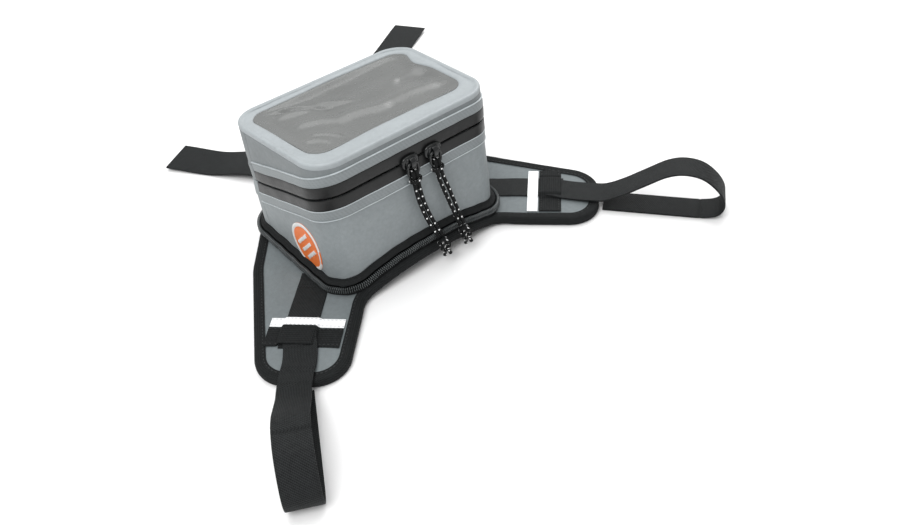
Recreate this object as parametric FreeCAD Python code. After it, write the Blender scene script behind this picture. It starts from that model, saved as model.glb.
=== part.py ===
"""Motorcycle tank bag: a zip-lidded dry pod on an arched harness with two strapped wings.

Frame: +X to the right end of the pod, +Y to the lid's hinge, +Z up. The origin is on the
flat plane that the wings lie on, below the centre of the pod. Millimetres.
"""
import FreeCAD, Part
import math
import os

Vector = FreeCAD.Vector
RT2 = math.sqrt(2.0)

# ---- harness panel -------------------------------------------------------------------
SKIN = 0.8              # coated top fabric and grip underside
CORE = 5.0              # foam between them
BINDING_WALL = 0.8      # folded binding tape
BINDING_LAP = 8.0       # how far the tape laps over the panel
LAY_GAP = 0.2           # underside panel to the binding's lower lip
ARCH_RISE = 10.0        # how much the saddle arches over the tank
ARCH_INFLECT = 62.0     # half length of the convex part of the arch
ARCH_END = 90.0         # where the arch runs out into the flat wings

FRONT_Y = -77.0         # front edge of the saddle
WING_FRONT_B = -6.0     # front edge of a wing, across the wing from the diagonal
WING_TIP_S = 189.5      # end of a wing, along the diagonal
WING_BACK_B = 60.0      # back corner of the wing tip, across the wing
WING_BACK_BEND = (117.0, 15.0)
SADDLE_BACK = (71.0, 75.0)
TAIL_END = (32.0, 141.0)
R_WING_ROOT = 20.0
R_TIP_FRONT = 26.0
R_TIP_BACK = 28.0
R_BACK_BEND = 70.0
R_SADDLE_BACK = 40.0
R_TAIL = 16.0

WING_HINGE_X = 95.0     # fold line of each wing
WING_DOWN = 50.0        # degrees that a wing folds down
FOLD_CLEAR = 0.4

# ---- webbing and trim on the wings ---------------------------------------------------
WEB_WIDTH = 25.4
WEB = 1.4
WEB_B = 37.5            # centre line of the webbing across the wing
STRIP_S = 128.0
STRIP_WIDTH = 9.0
STRIP = 0.4
KEEPER_S = 138.0
KEEPER_WIDTH = 19.0
KEEPER = 1.0
TRIM_B = (4.5, 62.0)    # ends of the strip and keeper across the wing

# ---- strap loops and back straps -----------------------------------------------------
LOOP_START = 1.2        # free strand starts this far past the wing tip
LOOP_SLANT = 6.5        # lower strand's end stands back from the upper one's, to swing down past the tip
LOOP_LENGTH = 102.0
LOOP_CREST = 44.0
LOOP_CREST_AT = 64.0
LOOP_TOP = 8.0          # height of the upper strand where it leaves the wing
LOOP_WEB = 1.6
LOOP_TOE_IN = {"left": 17.0, "right": 7.5}
LOOP_B = {"left": 29.0, "right": 28.0}

BACK_WIDTH = 38.0
BACK_WEB = 1.8
BACK_ROOT = 34.0        # sewn length on the tail
BACK_LENGTH = {"left": 92.0, "right": 240.0}
BACK_ANGLE = {"left": 124.0, "right": 31.0}
BACK_PIVOT = {"left": (-36.0, 143.0), "right": (34.0, 143.5)}

# ---- pod -----------------------------------------------------------------------------
POD_Z = 16.0            # bottom edge of the pod at its ends
POD_TOP = 118.4         # top of the lid at y = 0
TOP_SLOPE = -0.0704     # the lid's top falls towards the hinge
ZIP_SLOPE = -0.30       # the zip falls further
REF_HEIGHT = 100.0      # height over which the plan sizes below change
LOW_FRONT = -67.0
LOW_BACK = 63.0
LOW_HALF = 83.0
HIGH_FRONT = -62.5
HIGH_BACK = 62.5
HIGH_HALF_FRONT = 81.3
HIGH_HALF_BACK = 85.8
R_LOW = 22.0
R_HIGH = 23.0
WALL = 2.4              # laminated wall with its foam stiffener
TAPE = 0.8              # weld tape and zip tape
LAP = 6.0               # how far the zip tape is welded over the wall
ZIP_Z = 78.2            # middle of the zip band at y = 0
ZIP_HEIGHT = 21.5       # whole band
ZIP_SLOT = 2.4          # slot that the sliders' posts run in
LOWER_WELD = 9.0
UPPER_WELD = 8.5
SPLIT = 0.6             # gap between the lid and the pod along the fold at the back
BOARD = 2.5
LINER = 1.5
CLEAR = 0.3
POD_CUT = -10.0         # level below every pod cut
POD_CAP = 150.0         # level above every pod cut

# ---- lid -----------------------------------------------------------------------------
FRAME_FRONT = 22.0      # width of the welded frame on each side of the window
FRAME_BACK = 9.0
FRAME_LEFT = 12.5
FRAME_RIGHT = 9.0
R_WINDOW = 14.0
FRAME = 3.0
RIDGE = 1.4             # raised weld bead round the top edge
RIDGE_WIDTH = 3.0
FILM = 0.6
FILM_DISH = 2.2         # window film lies this far below the frame
POCKET = 0.8
GUSSET_HEIGHT = 16.0

# ---- base zip ------------------------------------------------------------------------
BASE_OUT = 4.5          # coil line outside the pod's bottom edge
BASE_TAPE = 0.9
COIL = 2.6              # coil's section, each half
COIL_Z = 12.3
BASE_FOOT = 9.0         # lower tape's sewn foot
UPPER_FOOT = 5.0        # upper tape's sewn edge on the wall
BASE_SLIDER_Y = 30.0
BASE_SLIDER_LENGTH = 13.0
BASE_PULL_LENGTH = 22.0

# ---- badge ---------------------------------------------------------------------------
BADGE = 0.8
BADGE_R = 21.0
BADGE_Y = -26.0
BADGE_Z = 36.0

# ---- sliders and pulls ---------------------------------------------------------------
SLIDER_LENGTH = 16.0
SLIDER_HEIGHT = 10.0
POST = 1.6
SLIDER_X = {"left": -4.5, "right": 17.0}
PLATE = 2.4
INNER_PLATE = 1.2
POST_HEIGHT = 1.4
BRIDGE_WIDTH = 4.4
BRIDGE_HEIGHT = 8.6
BRIDGE_OUT = 4.6
RING_WIRE = 2.2
RING_WIDTH = 12.0
RING_DROP = 13.0
RING_CLEAR = 0.6
CORD = 3.2
KNOT_R = 6.2

# Free pull cords: hand-picked route points (x, y, z) of each strand.
CORD_ROUTES = {
    "left_cord_inner": [(-6.2, -70.4, 84.6), (-5.9, -70.8, 74.5), (-4.4, -71.7, 62.5), (-1.9, -73.0, 50.0),
                        (1.2, -75.4, 38.0), (4.4, -80.4, 27.0)],
    "left_cord_outer": [(-2.8, -70.4, 84.6), (-2.2, -71.0, 74.0), (-0.7, -71.9, 62.0), (1.7, -73.3, 50.5),
                        (4.8, -75.9, 38.5), (7.9, -80.8, 27.0)],
    "right_cord_inner": [(15.3, -70.4, 84.6), (16.5, -70.9, 74.5), (19.4, -71.7, 63.0), (22.4, -73.0, 51.0),
                         (24.9, -75.5, 39.0), (26.5, -80.4, 26.7)],
    "right_cord_outer": [(18.7, -70.4, 84.6), (20.5, -71.1, 74.5), (23.6, -72.2, 63.5), (26.4, -73.5, 51.5),
                         (28.5, -76.1, 39.5), (30.0, -80.8, 26.7)],
}
KNOT_AT = {"left": (6.4, -84.2, 21.0), "right": (28.4, -84.2, 20.6)}

# ---- worked out from the sizes above -------------------------------------------------
PANEL_TOP = SKIN + CORE + SKIN          # top of the grey skin, lying flat
RIM_TOP = PANEL_TOP + BINDING_WALL      # top of the binding
MID = RIM_TOP / 2
FAR = 400.0
PARTS = "parts"


def export(name, shape):
    """Write one node, made of one or more closed solids."""
    shape = shape.removeSplitter()
    if not shape.isValid() or not shape.Solids:
        raise ValueError("bad solid: " + name)
    if len(shape.Solids) == 1:
        shape = shape.Solids[0]
    shape.exportStep(os.path.join(PARTS, name + ".step"))
    print("%-26s %d solid %9.0f mm3" % (name, len(shape.Solids), shape.Volume))


def fuse(shapes):
    """Union of a list of shapes."""
    return shapes[0].multiFuse(shapes[1:]) if len(shapes) > 1 else shapes[0]


def box(x0, x1, y0, y1, z0, z1):
    """Box between two corners."""
    return Part.makeBox(x1 - x0, y1 - y0, z1 - z0, Vector(x0, y0, z0))


def mirrored(points):
    """Close an outline by adding the mirror image, in X, of its right half."""
    return points + [(-x, y, r) for x, y, r in reversed(points)]


def offset_corners(corners, distance):
    """Move each side of a closed outline outwards; the outline runs anticlockwise."""
    if distance == 0:
        return corners
    count = len(corners)
    out = []
    for i in range(count):
        before = Vector(*corners[i - 1][:2], 0)
        here = Vector(*corners[i][:2], 0)
        after = Vector(*corners[(i + 1) % count][:2], 0)
        one = (here - before).normalize()
        two = (after - here).normalize()
        turn = one.x * two.y - one.y * two.x
        bisector = Vector(one.y + two.y, -one.x - two.x, 0)
        bisector = bisector * (distance / (1 + one.dot(two)))
        radius = corners[i][2] + (distance if turn > 0 else -distance)
        out.append((here.x + bisector.x, here.y + bisector.y, max(radius, 0.5)))
    return out


def outline_wire(corners, z):
    """Closed wire of straight sides and tangent arcs; a corner is (x, y, radius)."""
    count = len(corners)
    arcs = []
    for i in range(count):
        before = Vector(*corners[i - 1][:2], 0)
        here = Vector(*corners[i][:2], 0)
        after = Vector(*corners[(i + 1) % count][:2], 0)
        one = (before - here).normalize()
        two = (after - here).normalize()
        half = one.getAngle(two) / 2
        reach = corners[i][2] / math.tan(half)
        middle = (one + two).normalize() * (corners[i][2] / math.sin(half) - corners[i][2])
        up = Vector(0, 0, z)
        arcs.append((here + one * reach + up, here + middle + up, here + two * reach + up))
    edges = []
    for i, (start, middle, end) in enumerate(arcs):
        edges.append(Part.Arc(start, middle, end).toShape())
        following = arcs[(i + 1) % count][0]
        if (following - end).Length > 1e-6:
            edges.append(Part.LineSegment(end, following).toShape())
    return Part.Wire(edges)


def prism(corners, z0, z1):
    """Upright solid of an outline."""
    face = Part.Face(outline_wire(corners, z0))
    return face.extrude(Vector(0, 0, z1 - z0))


def diagonal(s, b):
    """Plan point of the right wing: s along its 45 degree axis, b across it."""
    return ((s + b) / RT2, (b - s) / RT2)


def mirror_x(shape):
    """Mirror image in the YZ plane."""
    return shape.mirror(Vector(0, 0, 0), Vector(1, 0, 0))


def on_side(name, shape):
    """Leave a right-hand shape, or mirror it for the left."""
    return shape if name == "right" else mirror_x(shape)


# ---- the arch ------------------------------------------------------------------------
CONVEX_R = ARCH_INFLECT * ARCH_END / (2 * ARCH_RISE)
CONCAVE_R = CONVEX_R * (ARCH_END - ARCH_INFLECT) / ARCH_INFLECT


def arch(x):
    """Height of the arch above the flat wings."""
    x = abs(x)
    if x < ARCH_INFLECT:
        return ARCH_RISE - CONVEX_R + math.sqrt(CONVEX_R ** 2 - x * x)
    if x < ARCH_END:
        return arch_foot() + CONCAVE_R - math.sqrt(CONCAVE_R ** 2 - (ARCH_END - x) ** 2)
    return arch_foot()


def arch_foot():
    """Small step between the parabola rule that sets the radii and the true arcs."""
    top = ARCH_RISE - CONVEX_R + math.sqrt(CONVEX_R ** 2 - ARCH_INFLECT ** 2)
    run = ARCH_END - ARCH_INFLECT
    return top - CONCAVE_R + math.sqrt(CONCAVE_R ** 2 - run * run)


def arch_slab(z0, z1):
    """Sheet between two copies of the arch, as deep and wide as the whole bag."""
    def line(z):
        def at(x):
            return Vector(x, -FAR, z + arch(x) - arch_foot())
        run = (ARCH_INFLECT + ARCH_END) / 2
        return [
            Part.LineSegment(Vector(-FAR, -FAR, z), at(-ARCH_END)).toShape(),
            Part.Arc(at(-ARCH_END), at(-run), at(-ARCH_INFLECT)).toShape(),
            Part.Arc(at(-ARCH_INFLECT), at(0), at(ARCH_INFLECT)).toShape(),
            Part.Arc(at(ARCH_INFLECT), at(run), at(ARCH_END)).toShape(),
            Part.LineSegment(at(ARCH_END), Vector(FAR, -FAR, z)).toShape(),
        ]
    low, high = line(z0), line(z1)
    ends = [Part.LineSegment(Vector(x, -FAR, z0), Vector(x, -FAR, z1)).toShape() for x in (-FAR, FAR)]
    wire = Part.Wire(Part.__sortEdges__(low + high + ends))
    return Part.Face(wire).extrude(Vector(0, 2 * FAR, 0))


# ---- harness -------------------------------------------------------------------------
def harness_corners():
    """Outline of the binding: front edge, wing, bend, back corner and tail."""
    root = (-FRONT_Y + RT2 * WING_FRONT_B, FRONT_Y)
    half = [
        (*root, R_WING_ROOT),
        (*diagonal(WING_TIP_S, WING_FRONT_B), R_TIP_FRONT),
        (*diagonal(WING_TIP_S, WING_BACK_B), R_TIP_BACK),
        (*WING_BACK_BEND, R_BACK_BEND),
        (*SADDLE_BACK, R_SADDLE_BACK),
        (*TAIL_END, R_TAIL),
    ]
    return mirrored(half)


def hinge_rod(radius):
    """Round bar along both wing fold lines."""
    rods = [Part.makeCylinder(radius, 2 * FAR, Vector(x, -FAR, MID), Vector(0, 1, 0))
            for x in (-WING_HINGE_X, WING_HINGE_X)]
    return fuse(rods)


def saddle_region():
    """Space of the saddle: it stops short of the wings' folding edges."""
    stop = WING_HINGE_X - MID * math.sin(math.radians(WING_DOWN)) - FOLD_CLEAR
    return box(-stop, stop, -FAR, FAR, -1, FAR).cut(hinge_rod(MID + FOLD_CLEAR))


def wing_region():
    """Space of the right wing, with its root edge rounded about the fold line."""
    outer = box(WING_HINGE_X, FAR, -FAR, FAR, -1, FAR)
    return outer.fuse(Part.makeCylinder(MID, 2 * FAR, Vector(WING_HINGE_X, -FAR, MID), Vector(0, 1, 0)))


def within_binding():
    """Upright space over the panel that the binding leaves bare."""
    return prism(offset_corners(harness_corners(), -BINDING_WALL - BINDING_LAP - LAY_GAP), -1, FAR)


def make_harness():
    """Saddle and wings: skin, core, underside and binding, cut along the fold lines."""
    corners = harness_corners()
    pad = prism(offset_corners(corners, -BINDING_WALL), -1, 40)
    inner = prism(offset_corners(corners, -BINDING_WALL - BINDING_LAP), -1, 40)
    under = within_binding()
    whole = prism(corners, -1, 40)
    panel = pad.common(arch_slab(SKIN, PANEL_TOP))
    layers = {
        "underside": under.common(arch_slab(0, SKIN)),
        "core": pad.common(arch_slab(SKIN, SKIN + CORE)),
        "skin": pad.common(arch_slab(SKIN + CORE, PANEL_TOP)),
        "binding": whole.cut(inner).common(arch_slab(0, RIM_TOP)).cut(panel),
    }
    saddle, wing = saddle_region(), wing_region()
    for layer, shape in layers.items():
        export("saddle_" + layer, shape.common(saddle))
        right = shape.common(wing)
        for side in ("left", "right"):
            export(side + "_wing_" + layer, on_side(side, right))


def across_wing(s0, s1, b0, b1, z0, z1):
    """Box laid on the right wing, square to its diagonal axis."""
    block = box(s0, s1, b0, b1, z0, z1)
    block.rotate(Vector(0, 0, 0), Vector(0, 0, 1), -45)
    return block


def stepped_band(s0, width, thick, hump):
    """Band across the wing that steps up over what lies under it."""
    b0, b1 = TRIM_B
    w0, w1 = WEB_B - WEB_WIDTH / 2 - CLEAR - thick, WEB_B + WEB_WIDTH / 2 + CLEAR + thick
    low, high = PANEL_TOP, PANEL_TOP + hump + thick
    return fuse([
        across_wing(s0, s0 + width, b0, w0 + thick, low, low + thick),
        across_wing(s0, s0 + width, w1 - thick, b1, low, low + thick),
        across_wing(s0, s0 + width, w0, w0 + thick, low, high),
        across_wing(s0, s0 + width, w1 - thick, w1, low, high),
        across_wing(s0, s0 + width, w0, w1, high - thick, high),
    ])


def make_wing_trim():
    """Sewn webbing, reflective strip and elastic keeper on each wing."""
    b0, b1 = WEB_B - WEB_WIDTH / 2, WEB_B + WEB_WIDTH / 2
    bare = within_binding().common(box(WING_HINGE_X + FOLD_CLEAR, FAR, -FAR, FAR, -1, FAR))
    webbing = across_wing(0, WING_TIP_S, b0, b1, PANEL_TOP, PANEL_TOP + WEB).common(bare)
    strip = stepped_band(STRIP_S, STRIP_WIDTH, STRIP, WEB).common(bare)
    keeper = stepped_band(KEEPER_S, KEEPER_WIDTH, KEEPER, WEB + CLEAR).common(bare)
    for side in ("left", "right"):
        export(side + "_wing_webbing", on_side(side, webbing))
        export(side + "_reflective_strip", on_side(side, strip))
        export(side + "_strap_keeper", on_side(side, keeper))


def loop_profile(inset):
    """Teardrop outline of a strap loop in its own upright plane, inset by a thickness."""
    low = inset
    start_low = Vector(LOOP_SLANT * (1 - inset / LOOP_TOP), 0, low)
    start_high = Vector(0, 0, LOOP_TOP - inset)
    crest = Vector(LOOP_CREST_AT, 0, LOOP_CREST - inset)
    end = Vector(LOOP_LENGTH - inset, 0, LOOP_CREST * 0.36)
    foot = Vector(LOOP_LENGTH * 0.78, 0, low)
    rise = Part.BSplineCurve()
    shoulder = Vector(LOOP_CREST_AT * 0.5, 0, LOOP_CREST * 0.66 - inset)
    rise.interpolate([start_high, shoulder, crest, end, foot],
                     InitialTangent=Vector(1, 0, 0.18), FinalTangent=Vector(-1, 0, 0))
    return [rise.toShape(), Part.LineSegment(foot, start_low).toShape(),
            Part.LineSegment(start_low, start_high).toShape()]


def make_loops():
    """Free strap loop beyond each wing tip."""
    outer = Part.Face(Part.Wire(loop_profile(0)))
    inner = Part.Face(Part.Wire(loop_profile(LOOP_WEB)))
    for side in ("left", "right"):
        loop = outer.extrude(Vector(0, WEB_WIDTH, 0)).cut(inner.extrude(Vector(0, WEB_WIDTH, 0)))
        loop.translate(Vector(0, -WEB_WIDTH / 2, 0))
        loop.rotate(Vector(0, 0, 0), Vector(0, 0, 1), -LOOP_TOE_IN[side])
        loop.translate(Vector(WING_TIP_S + LOOP_START + loop_swing(side), LOOP_B[side], 0))
        loop.rotate(Vector(0, 0, 0), Vector(0, 0, 1), -45)
        export(side + "_strap_loop", on_side(side, loop))


def loop_swing(side):
    """Extra room past the wing tip for the near corner of a toed-in loop."""
    return WEB_WIDTH / 2 * math.sin(math.radians(LOOP_TOE_IN[side]))


def make_back_straps():
    """Webbing straps sewn under the tail's corners, and the free length of each."""
    tail = prism(offset_corners(harness_corners(), -CLEAR), -5, 40)
    tail = tail.common(arch_slab(-BACK_WEB, 0))
    for side in ("left", "right"):
        x, y = BACK_PIVOT[side]
        drop = arch(x) - arch_foot() - BACK_WEB
        half = box(CLEAR, FAR, -FAR, FAR, -5, 40)
        root = box(-BACK_ROOT, 0, -BACK_WIDTH / 2, BACK_WIDTH / 2, -5, 40)
        free = box(CLEAR, BACK_LENGTH[side], -BACK_WIDTH / 2, BACK_WIDTH / 2, 0, BACK_WEB)
        free.rotate(Vector(0, 0, 0), Vector(0, 1, 0), math.degrees(math.asin(drop / BACK_LENGTH[side])))
        free.translate(Vector(0, 0, drop))
        for shape in (root, free):
            shape.rotate(Vector(0, 0, 0), Vector(0, 0, 1), BACK_ANGLE[side])
            shape.translate(Vector(x, y, 0))
        export(side + "_strap_root", root.common(tail).common(on_side(side, half)))
        export(side + "_back_strap", free)


# ---- pod -----------------------------------------------------------------------------
def pod_corners(z, inset=0.0):
    """Outline of the pod's outside at a height, moved in by a wall thickness."""
    t = (z - POD_Z) / REF_HEIGHT

    def at(low, high):
        return low + (high - low) * t
    front, back = at(LOW_FRONT, HIGH_FRONT), at(LOW_BACK, HIGH_BACK)
    half_front, half_back = at(LOW_HALF, HIGH_HALF_FRONT), at(LOW_HALF, HIGH_HALF_BACK)
    radius = at(R_LOW, R_HIGH)
    half = [(half_front, front, radius), (half_back, back, radius)]
    return offset_corners(mirrored(half), -inset)


def pod_solid(inset=0.0):
    """Solid of the pod's outside, moved in by a wall thickness; taller than the pod."""
    low = outline_wire(pod_corners(POD_CUT, inset), POD_CUT)
    high = outline_wire(pod_corners(POD_CAP, inset), POD_CAP)
    return Part.makeLoft([low, high], True, True)


def tilted_slab(low, low_slope, high, high_slope):
    """Space between two planes that tilt front to back; heights are at y = 0."""
    points = [
        Vector(-FAR, -FAR, low - low_slope * FAR), Vector(-FAR, FAR, low + low_slope * FAR),
        Vector(-FAR, FAR, high + high_slope * FAR), Vector(-FAR, -FAR, high - high_slope * FAR),
    ]
    face = Part.Face(Part.makePolygon(points + points[:1]))
    return face.extrude(Vector(2 * FAR, 0, 0))


def band(low, high):
    """Slab parallel to the zip, from one height above its middle to another."""
    return tilted_slab(ZIP_Z + low, ZIP_SLOPE, ZIP_Z + high, ZIP_SLOPE)


def ring(outside, inside):
    """Pod-shaped tube between two insets; a negative inset stands proud."""
    return pod_solid(outside).cut(pod_solid(inside))


def above_floor(z0, z1=POD_CAP):
    """Space over the pod's arched bottom edge, from one height above it to another."""
    return arch_slab(POD_Z + z0, POD_Z + z1)


def ahead_of_back():
    """Space of the zip: it runs round both ends and the front, and stops at the back corners."""
    return box(-FAR, FAR, -FAR, LOW_BACK - R_HIGH - 2, POD_CUT, POD_CAP)


HALF_ZIP = ZIP_HEIGHT / 2


def behind_zip():
    """Space of the lid's fold: the back face, clear of the zip's ends."""
    return box(-FAR, FAR, LOW_BACK - R_HIGH - 2 + CLEAR, FAR, POD_CUT, POD_CAP)


def make_pod():
    """Welded wall, board, liner, tapes and the pod's half of the fold."""
    front, back = ahead_of_back(), behind_zip()
    wall = ring(0, WALL).common(above_floor(0))
    lower = wall.common(band(-FAR, LAP - HALF_ZIP))
    rise = wall.common(band(-FAR, -SPLIT / 2)).common(back)
    export("pod_wall", lower.fuse(rise))
    inside = pod_solid(WALL + LAY_GAP)
    export("pod_board", inside.common(above_floor(0, BOARD)))
    export("pod_liner", inside.common(above_floor(BOARD, BOARD + LINER)))
    proud = ring(-TAPE, 0)
    export("lower_zip_tape", proud.common(band(-HALF_ZIP, -ZIP_SLOT / 2)).common(front))
    export("lower_weld_tape", proud.common(band(-HALF_ZIP - LOWER_WELD, -HALF_ZIP)).common(front))
    export("hinge_tape_lower", proud.common(band(-GUSSET_HEIGHT, -SPLIT / 2)).common(back))


def make_badge():
    """Round woven badge on the left end, near the front corner."""
    t = (BADGE_Z - POD_Z) / REF_HEIGHT
    face_x = -(LOW_HALF + (HIGH_HALF_FRONT - LOW_HALF) * t)
    disc = Part.makeCylinder(BADGE_R, 20, Vector(face_x - 10, BADGE_Y, BADGE_Z), Vector(1, 0, 0))
    shell = ring(-BADGE, 0).common(above_floor(UPPER_FOOT + CLEAR))
    export("badge", disc.common(shell))


def window_corners(z):
    """Outline of the window's opening at a height; its frame is widest at the front."""
    (x_front, front, _), (x_back, back, _) = pod_corners(z)[:2]
    near = front + FRAME_FRONT
    far = back - FRAME_BACK
    return [
        (x_front - FRAME_RIGHT, near, R_WINDOW), (x_back - FRAME_RIGHT, far, R_WINDOW),
        (FRAME_LEFT - x_back, far, R_WINDOW), (FRAME_LEFT - x_front, near, R_WINDOW),
    ]


def window_solid():
    """Upright space of the window's opening."""
    low = outline_wire(window_corners(POD_CUT), POD_CUT)
    high = outline_wire(window_corners(POD_CAP), POD_CAP)
    return Part.makeLoft([low, high], True, True)


def make_lid():
    """Lid: side wall, tapes, welded top frame, window film and inner pocket panel."""
    front, back = ahead_of_back(), behind_zip()
    under_top = tilted_slab(-FAR, 0, POD_TOP - FRAME, TOP_SLOPE)
    wall = ring(0, WALL).common(under_top)
    upper = wall.common(band(HALF_ZIP - LAP, FAR))
    drop = wall.common(band(SPLIT / 2, FAR)).common(back)
    export("lid_wall", upper.fuse(drop))
    proud = ring(-TAPE, 0)
    export("upper_zip_tape", proud.common(band(ZIP_SLOT / 2, HALF_ZIP)).common(front))
    weld = proud.common(band(HALF_ZIP, HALF_ZIP + UPPER_WELD))
    export("upper_weld_tape", weld.common(front).common(under_top))
    export("hinge_tape_upper", proud.common(band(SPLIT / 2, GUSSET_HEIGHT)).common(back))

    top = tilted_slab(POD_TOP - FRAME, TOP_SLOPE, POD_TOP, TOP_SLOPE)
    bead = tilted_slab(POD_TOP, TOP_SLOPE, POD_TOP + RIDGE, TOP_SLOPE)
    window = window_solid()
    frame = pod_solid(0).cut(window).common(top)
    frame = frame.fuse(ring(0, RIDGE_WIDTH).common(bead))
    export("lid_frame", frame)
    film = tilted_slab(POD_TOP - FILM_DISH - FILM, TOP_SLOPE, POD_TOP - FILM_DISH, TOP_SLOPE)
    export("window_film", window.common(film))
    under = tilted_slab(POD_TOP - FRAME - POCKET, TOP_SLOPE, POD_TOP - FRAME, TOP_SLOPE)
    export("map_pocket_panel", pod_solid(WALL + LAY_GAP).common(under))


# ---- base zip ------------------------------------------------------------------------
def base_corners(out):
    """Outline that runs a distance outside the pod's bottom edge."""
    return offset_corners(pod_corners(POD_Z), out)


def base_ring(out0, out1, z0, z1):
    """Ring between two distances outside the bottom edge, following the arch."""
    tube = prism(base_corners(out1), -20, 60).cut(prism(base_corners(out0), -20, 60))
    return tube.common(arch_slab(z0, z1))


def make_base_zip():
    """Zip round the pod's bottom: tape and coil on the pod, and the same on the saddle."""
    upper_tape = ring(-BASE_TAPE, 0).common(above_floor(0, UPPER_FOOT))
    shelf = base_ring(-1, BASE_OUT, POD_Z - BASE_TAPE, POD_Z)
    skirt = base_ring(BASE_OUT - BASE_TAPE, BASE_OUT, COIL_Z + COIL + CLEAR, POD_Z)
    export("base_zip_upper_tape", fuse([upper_tape, shelf, skirt]))
    coil_out = BASE_OUT + COIL
    export("base_zip_upper_coil", base_ring(BASE_OUT, coil_out, COIL_Z + CLEAR / 2, COIL_Z + COIL))
    export("base_zip_lower_coil", base_ring(BASE_OUT, coil_out, COIL_Z - COIL, COIL_Z - CLEAR / 2))
    foot = base_ring(BASE_OUT - BASE_FOOT, BASE_OUT, PANEL_TOP, RIM_TOP + BASE_TAPE)
    foot = foot.common(within_binding().fuse(arch_slab(RIM_TOP, POD_CAP)))
    riser = base_ring(BASE_OUT - BASE_TAPE, BASE_OUT, RIM_TOP, COIL_Z - CLEAR / 2)
    export("base_zip_lower_tape", foot.fuse(riser))


# ---- sliders, pulls and cords --------------------------------------------------------
def front_y(z):
    """Front face of the pod at a height."""
    return LOW_FRONT + (HIGH_FRONT - LOW_FRONT) * (z - POD_Z) / REF_HEIGHT


def zip_front():
    """Height and depth of the zip's middle on the front face."""
    z = ZIP_Z
    for _ in range(20):
        z = ZIP_Z + ZIP_SLOPE * front_y(z)
    return front_y(z), z


def bar(start, end, wire):
    """Round bar with ball ends."""
    run = end - start
    return fuse([
        Part.makeCylinder(wire / 2, run.Length, start, run),
        Part.makeSphere(wire / 2, start),
        Part.makeSphere(wire / 2, end),
    ])


def wire_loop(x, y, z, wire, width, drop):
    """Rectangular loop of round wire hanging from its top bar."""
    w, h = width / 2 - wire / 2, drop - wire
    corners = [Vector(x - w, y, z), Vector(x + w, y, z), Vector(x + w, y, z - h), Vector(x - w, y, z - h)]
    return fuse([bar(corners[i], corners[(i + 1) % 4], wire) for i in range(4)])


def make_sliders():
    """Two zip sliders on the front, with a wire loop on each."""
    y, z = zip_front()
    back_y = y - TAPE - CLEAR - 0.25
    plate_y = back_y - PLATE
    half = SLIDER_LENGTH / 2
    inner_y = y + CLEAR + 0.25
    for side in ("left", "right"):
        x = SLIDER_X[side]
        plate = box(x - half, x + half, plate_y, back_y, z - SLIDER_HEIGHT / 2, z + SLIDER_HEIGHT / 2)
        post = box(x - POST / 2, x + POST / 2, plate_y, inner_y + INNER_PLATE,
                   z - POST_HEIGHT / 2, z + POST_HEIGHT / 2)
        inner = box(x - half, x + half, inner_y, inner_y + INNER_PLATE,
                    z - HALF_ZIP + LAP + CLEAR, z + POST_HEIGHT / 2)
        bridge = box(x - BRIDGE_WIDTH / 2, x + BRIDGE_WIDTH / 2, plate_y - BRIDGE_OUT, plate_y,
                     z - BRIDGE_HEIGHT / 2, z + BRIDGE_HEIGHT / 2)
        ring_y = plate_y - RING_WIRE / 2 - RING_CLEAR
        eye_at = Vector(x - half, ring_y, z)
        eye = Part.makeCylinder(RING_WIRE / 2 + RING_CLEAR, SLIDER_LENGTH, eye_at, Vector(1, 0, 0))
        export(side + "_slider", fuse([plate, post, inner, bridge]).cut(eye))
        export(side + "_pull", wire_loop(x, ring_y, z, RING_WIRE, RING_WIDTH, RING_DROP))
    print("pull pivots: y %.2f z %.2f" % (ring_y, z))


def make_base_slider():
    """Slider and pull tab of the base zip, on the right end."""
    out = LOW_HALF + BASE_OUT
    coil_out = out + COIL
    y0, y1 = BASE_SLIDER_Y - BASE_SLIDER_LENGTH / 2, BASE_SLIDER_Y + BASE_SLIDER_LENGTH / 2
    low = COIL_Z - COIL - CLEAR
    plate = box(coil_out + CLEAR, coil_out + CLEAR + 1.5, y0, y1, low - 1, COIL_Z + COIL + CLEAR)
    lip = box(out + CLEAR, coil_out + CLEAR, y0, y1, low - 1, low)
    export("base_slider", plate.fuse(lip))
    tab_x = coil_out + CLEAR + 1.5 + CLEAR
    tab = box(tab_x, tab_x + 1.4, BASE_SLIDER_Y, BASE_SLIDER_Y + BASE_PULL_LENGTH, COIL_Z - 2, COIL_Z + 2)
    export("base_pull", tab)
    print("base pull pivot: x %.2f y %.2f" % (tab_x + 0.7, BASE_SLIDER_Y))


def cord_path(points):
    """Straight runs joined by tangent arcs; returns the wire and prints its tightest radius."""
    corners = [Vector(*p) for p in points]
    edges, radii = [], []
    start = corners[0]
    for i in range(1, len(corners) - 1):
        before, here, after = corners[i - 1:i + 2]
        one, two = (before - here), (after - here)
        shorter = min(one.Length, two.Length)
        one.normalize()
        two.normalize()
        turn = math.pi - one.getAngle(two)
        reach = 0.45 * shorter
        radius = reach / math.tan(turn / 2)
        radii.append(radius)
        middle = (one + two).normalize() * (radius / math.cos(turn / 2) - radius)
        edges.append(Part.LineSegment(start, here + one * reach).toShape())
        edges.append(Part.Arc(here + one * reach, here + middle, here + two * reach).toShape())
        start = here + two * reach
    edges.append(Part.LineSegment(start, corners[-1]).toShape())
    return Part.Wire(edges), min(radii)


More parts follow.
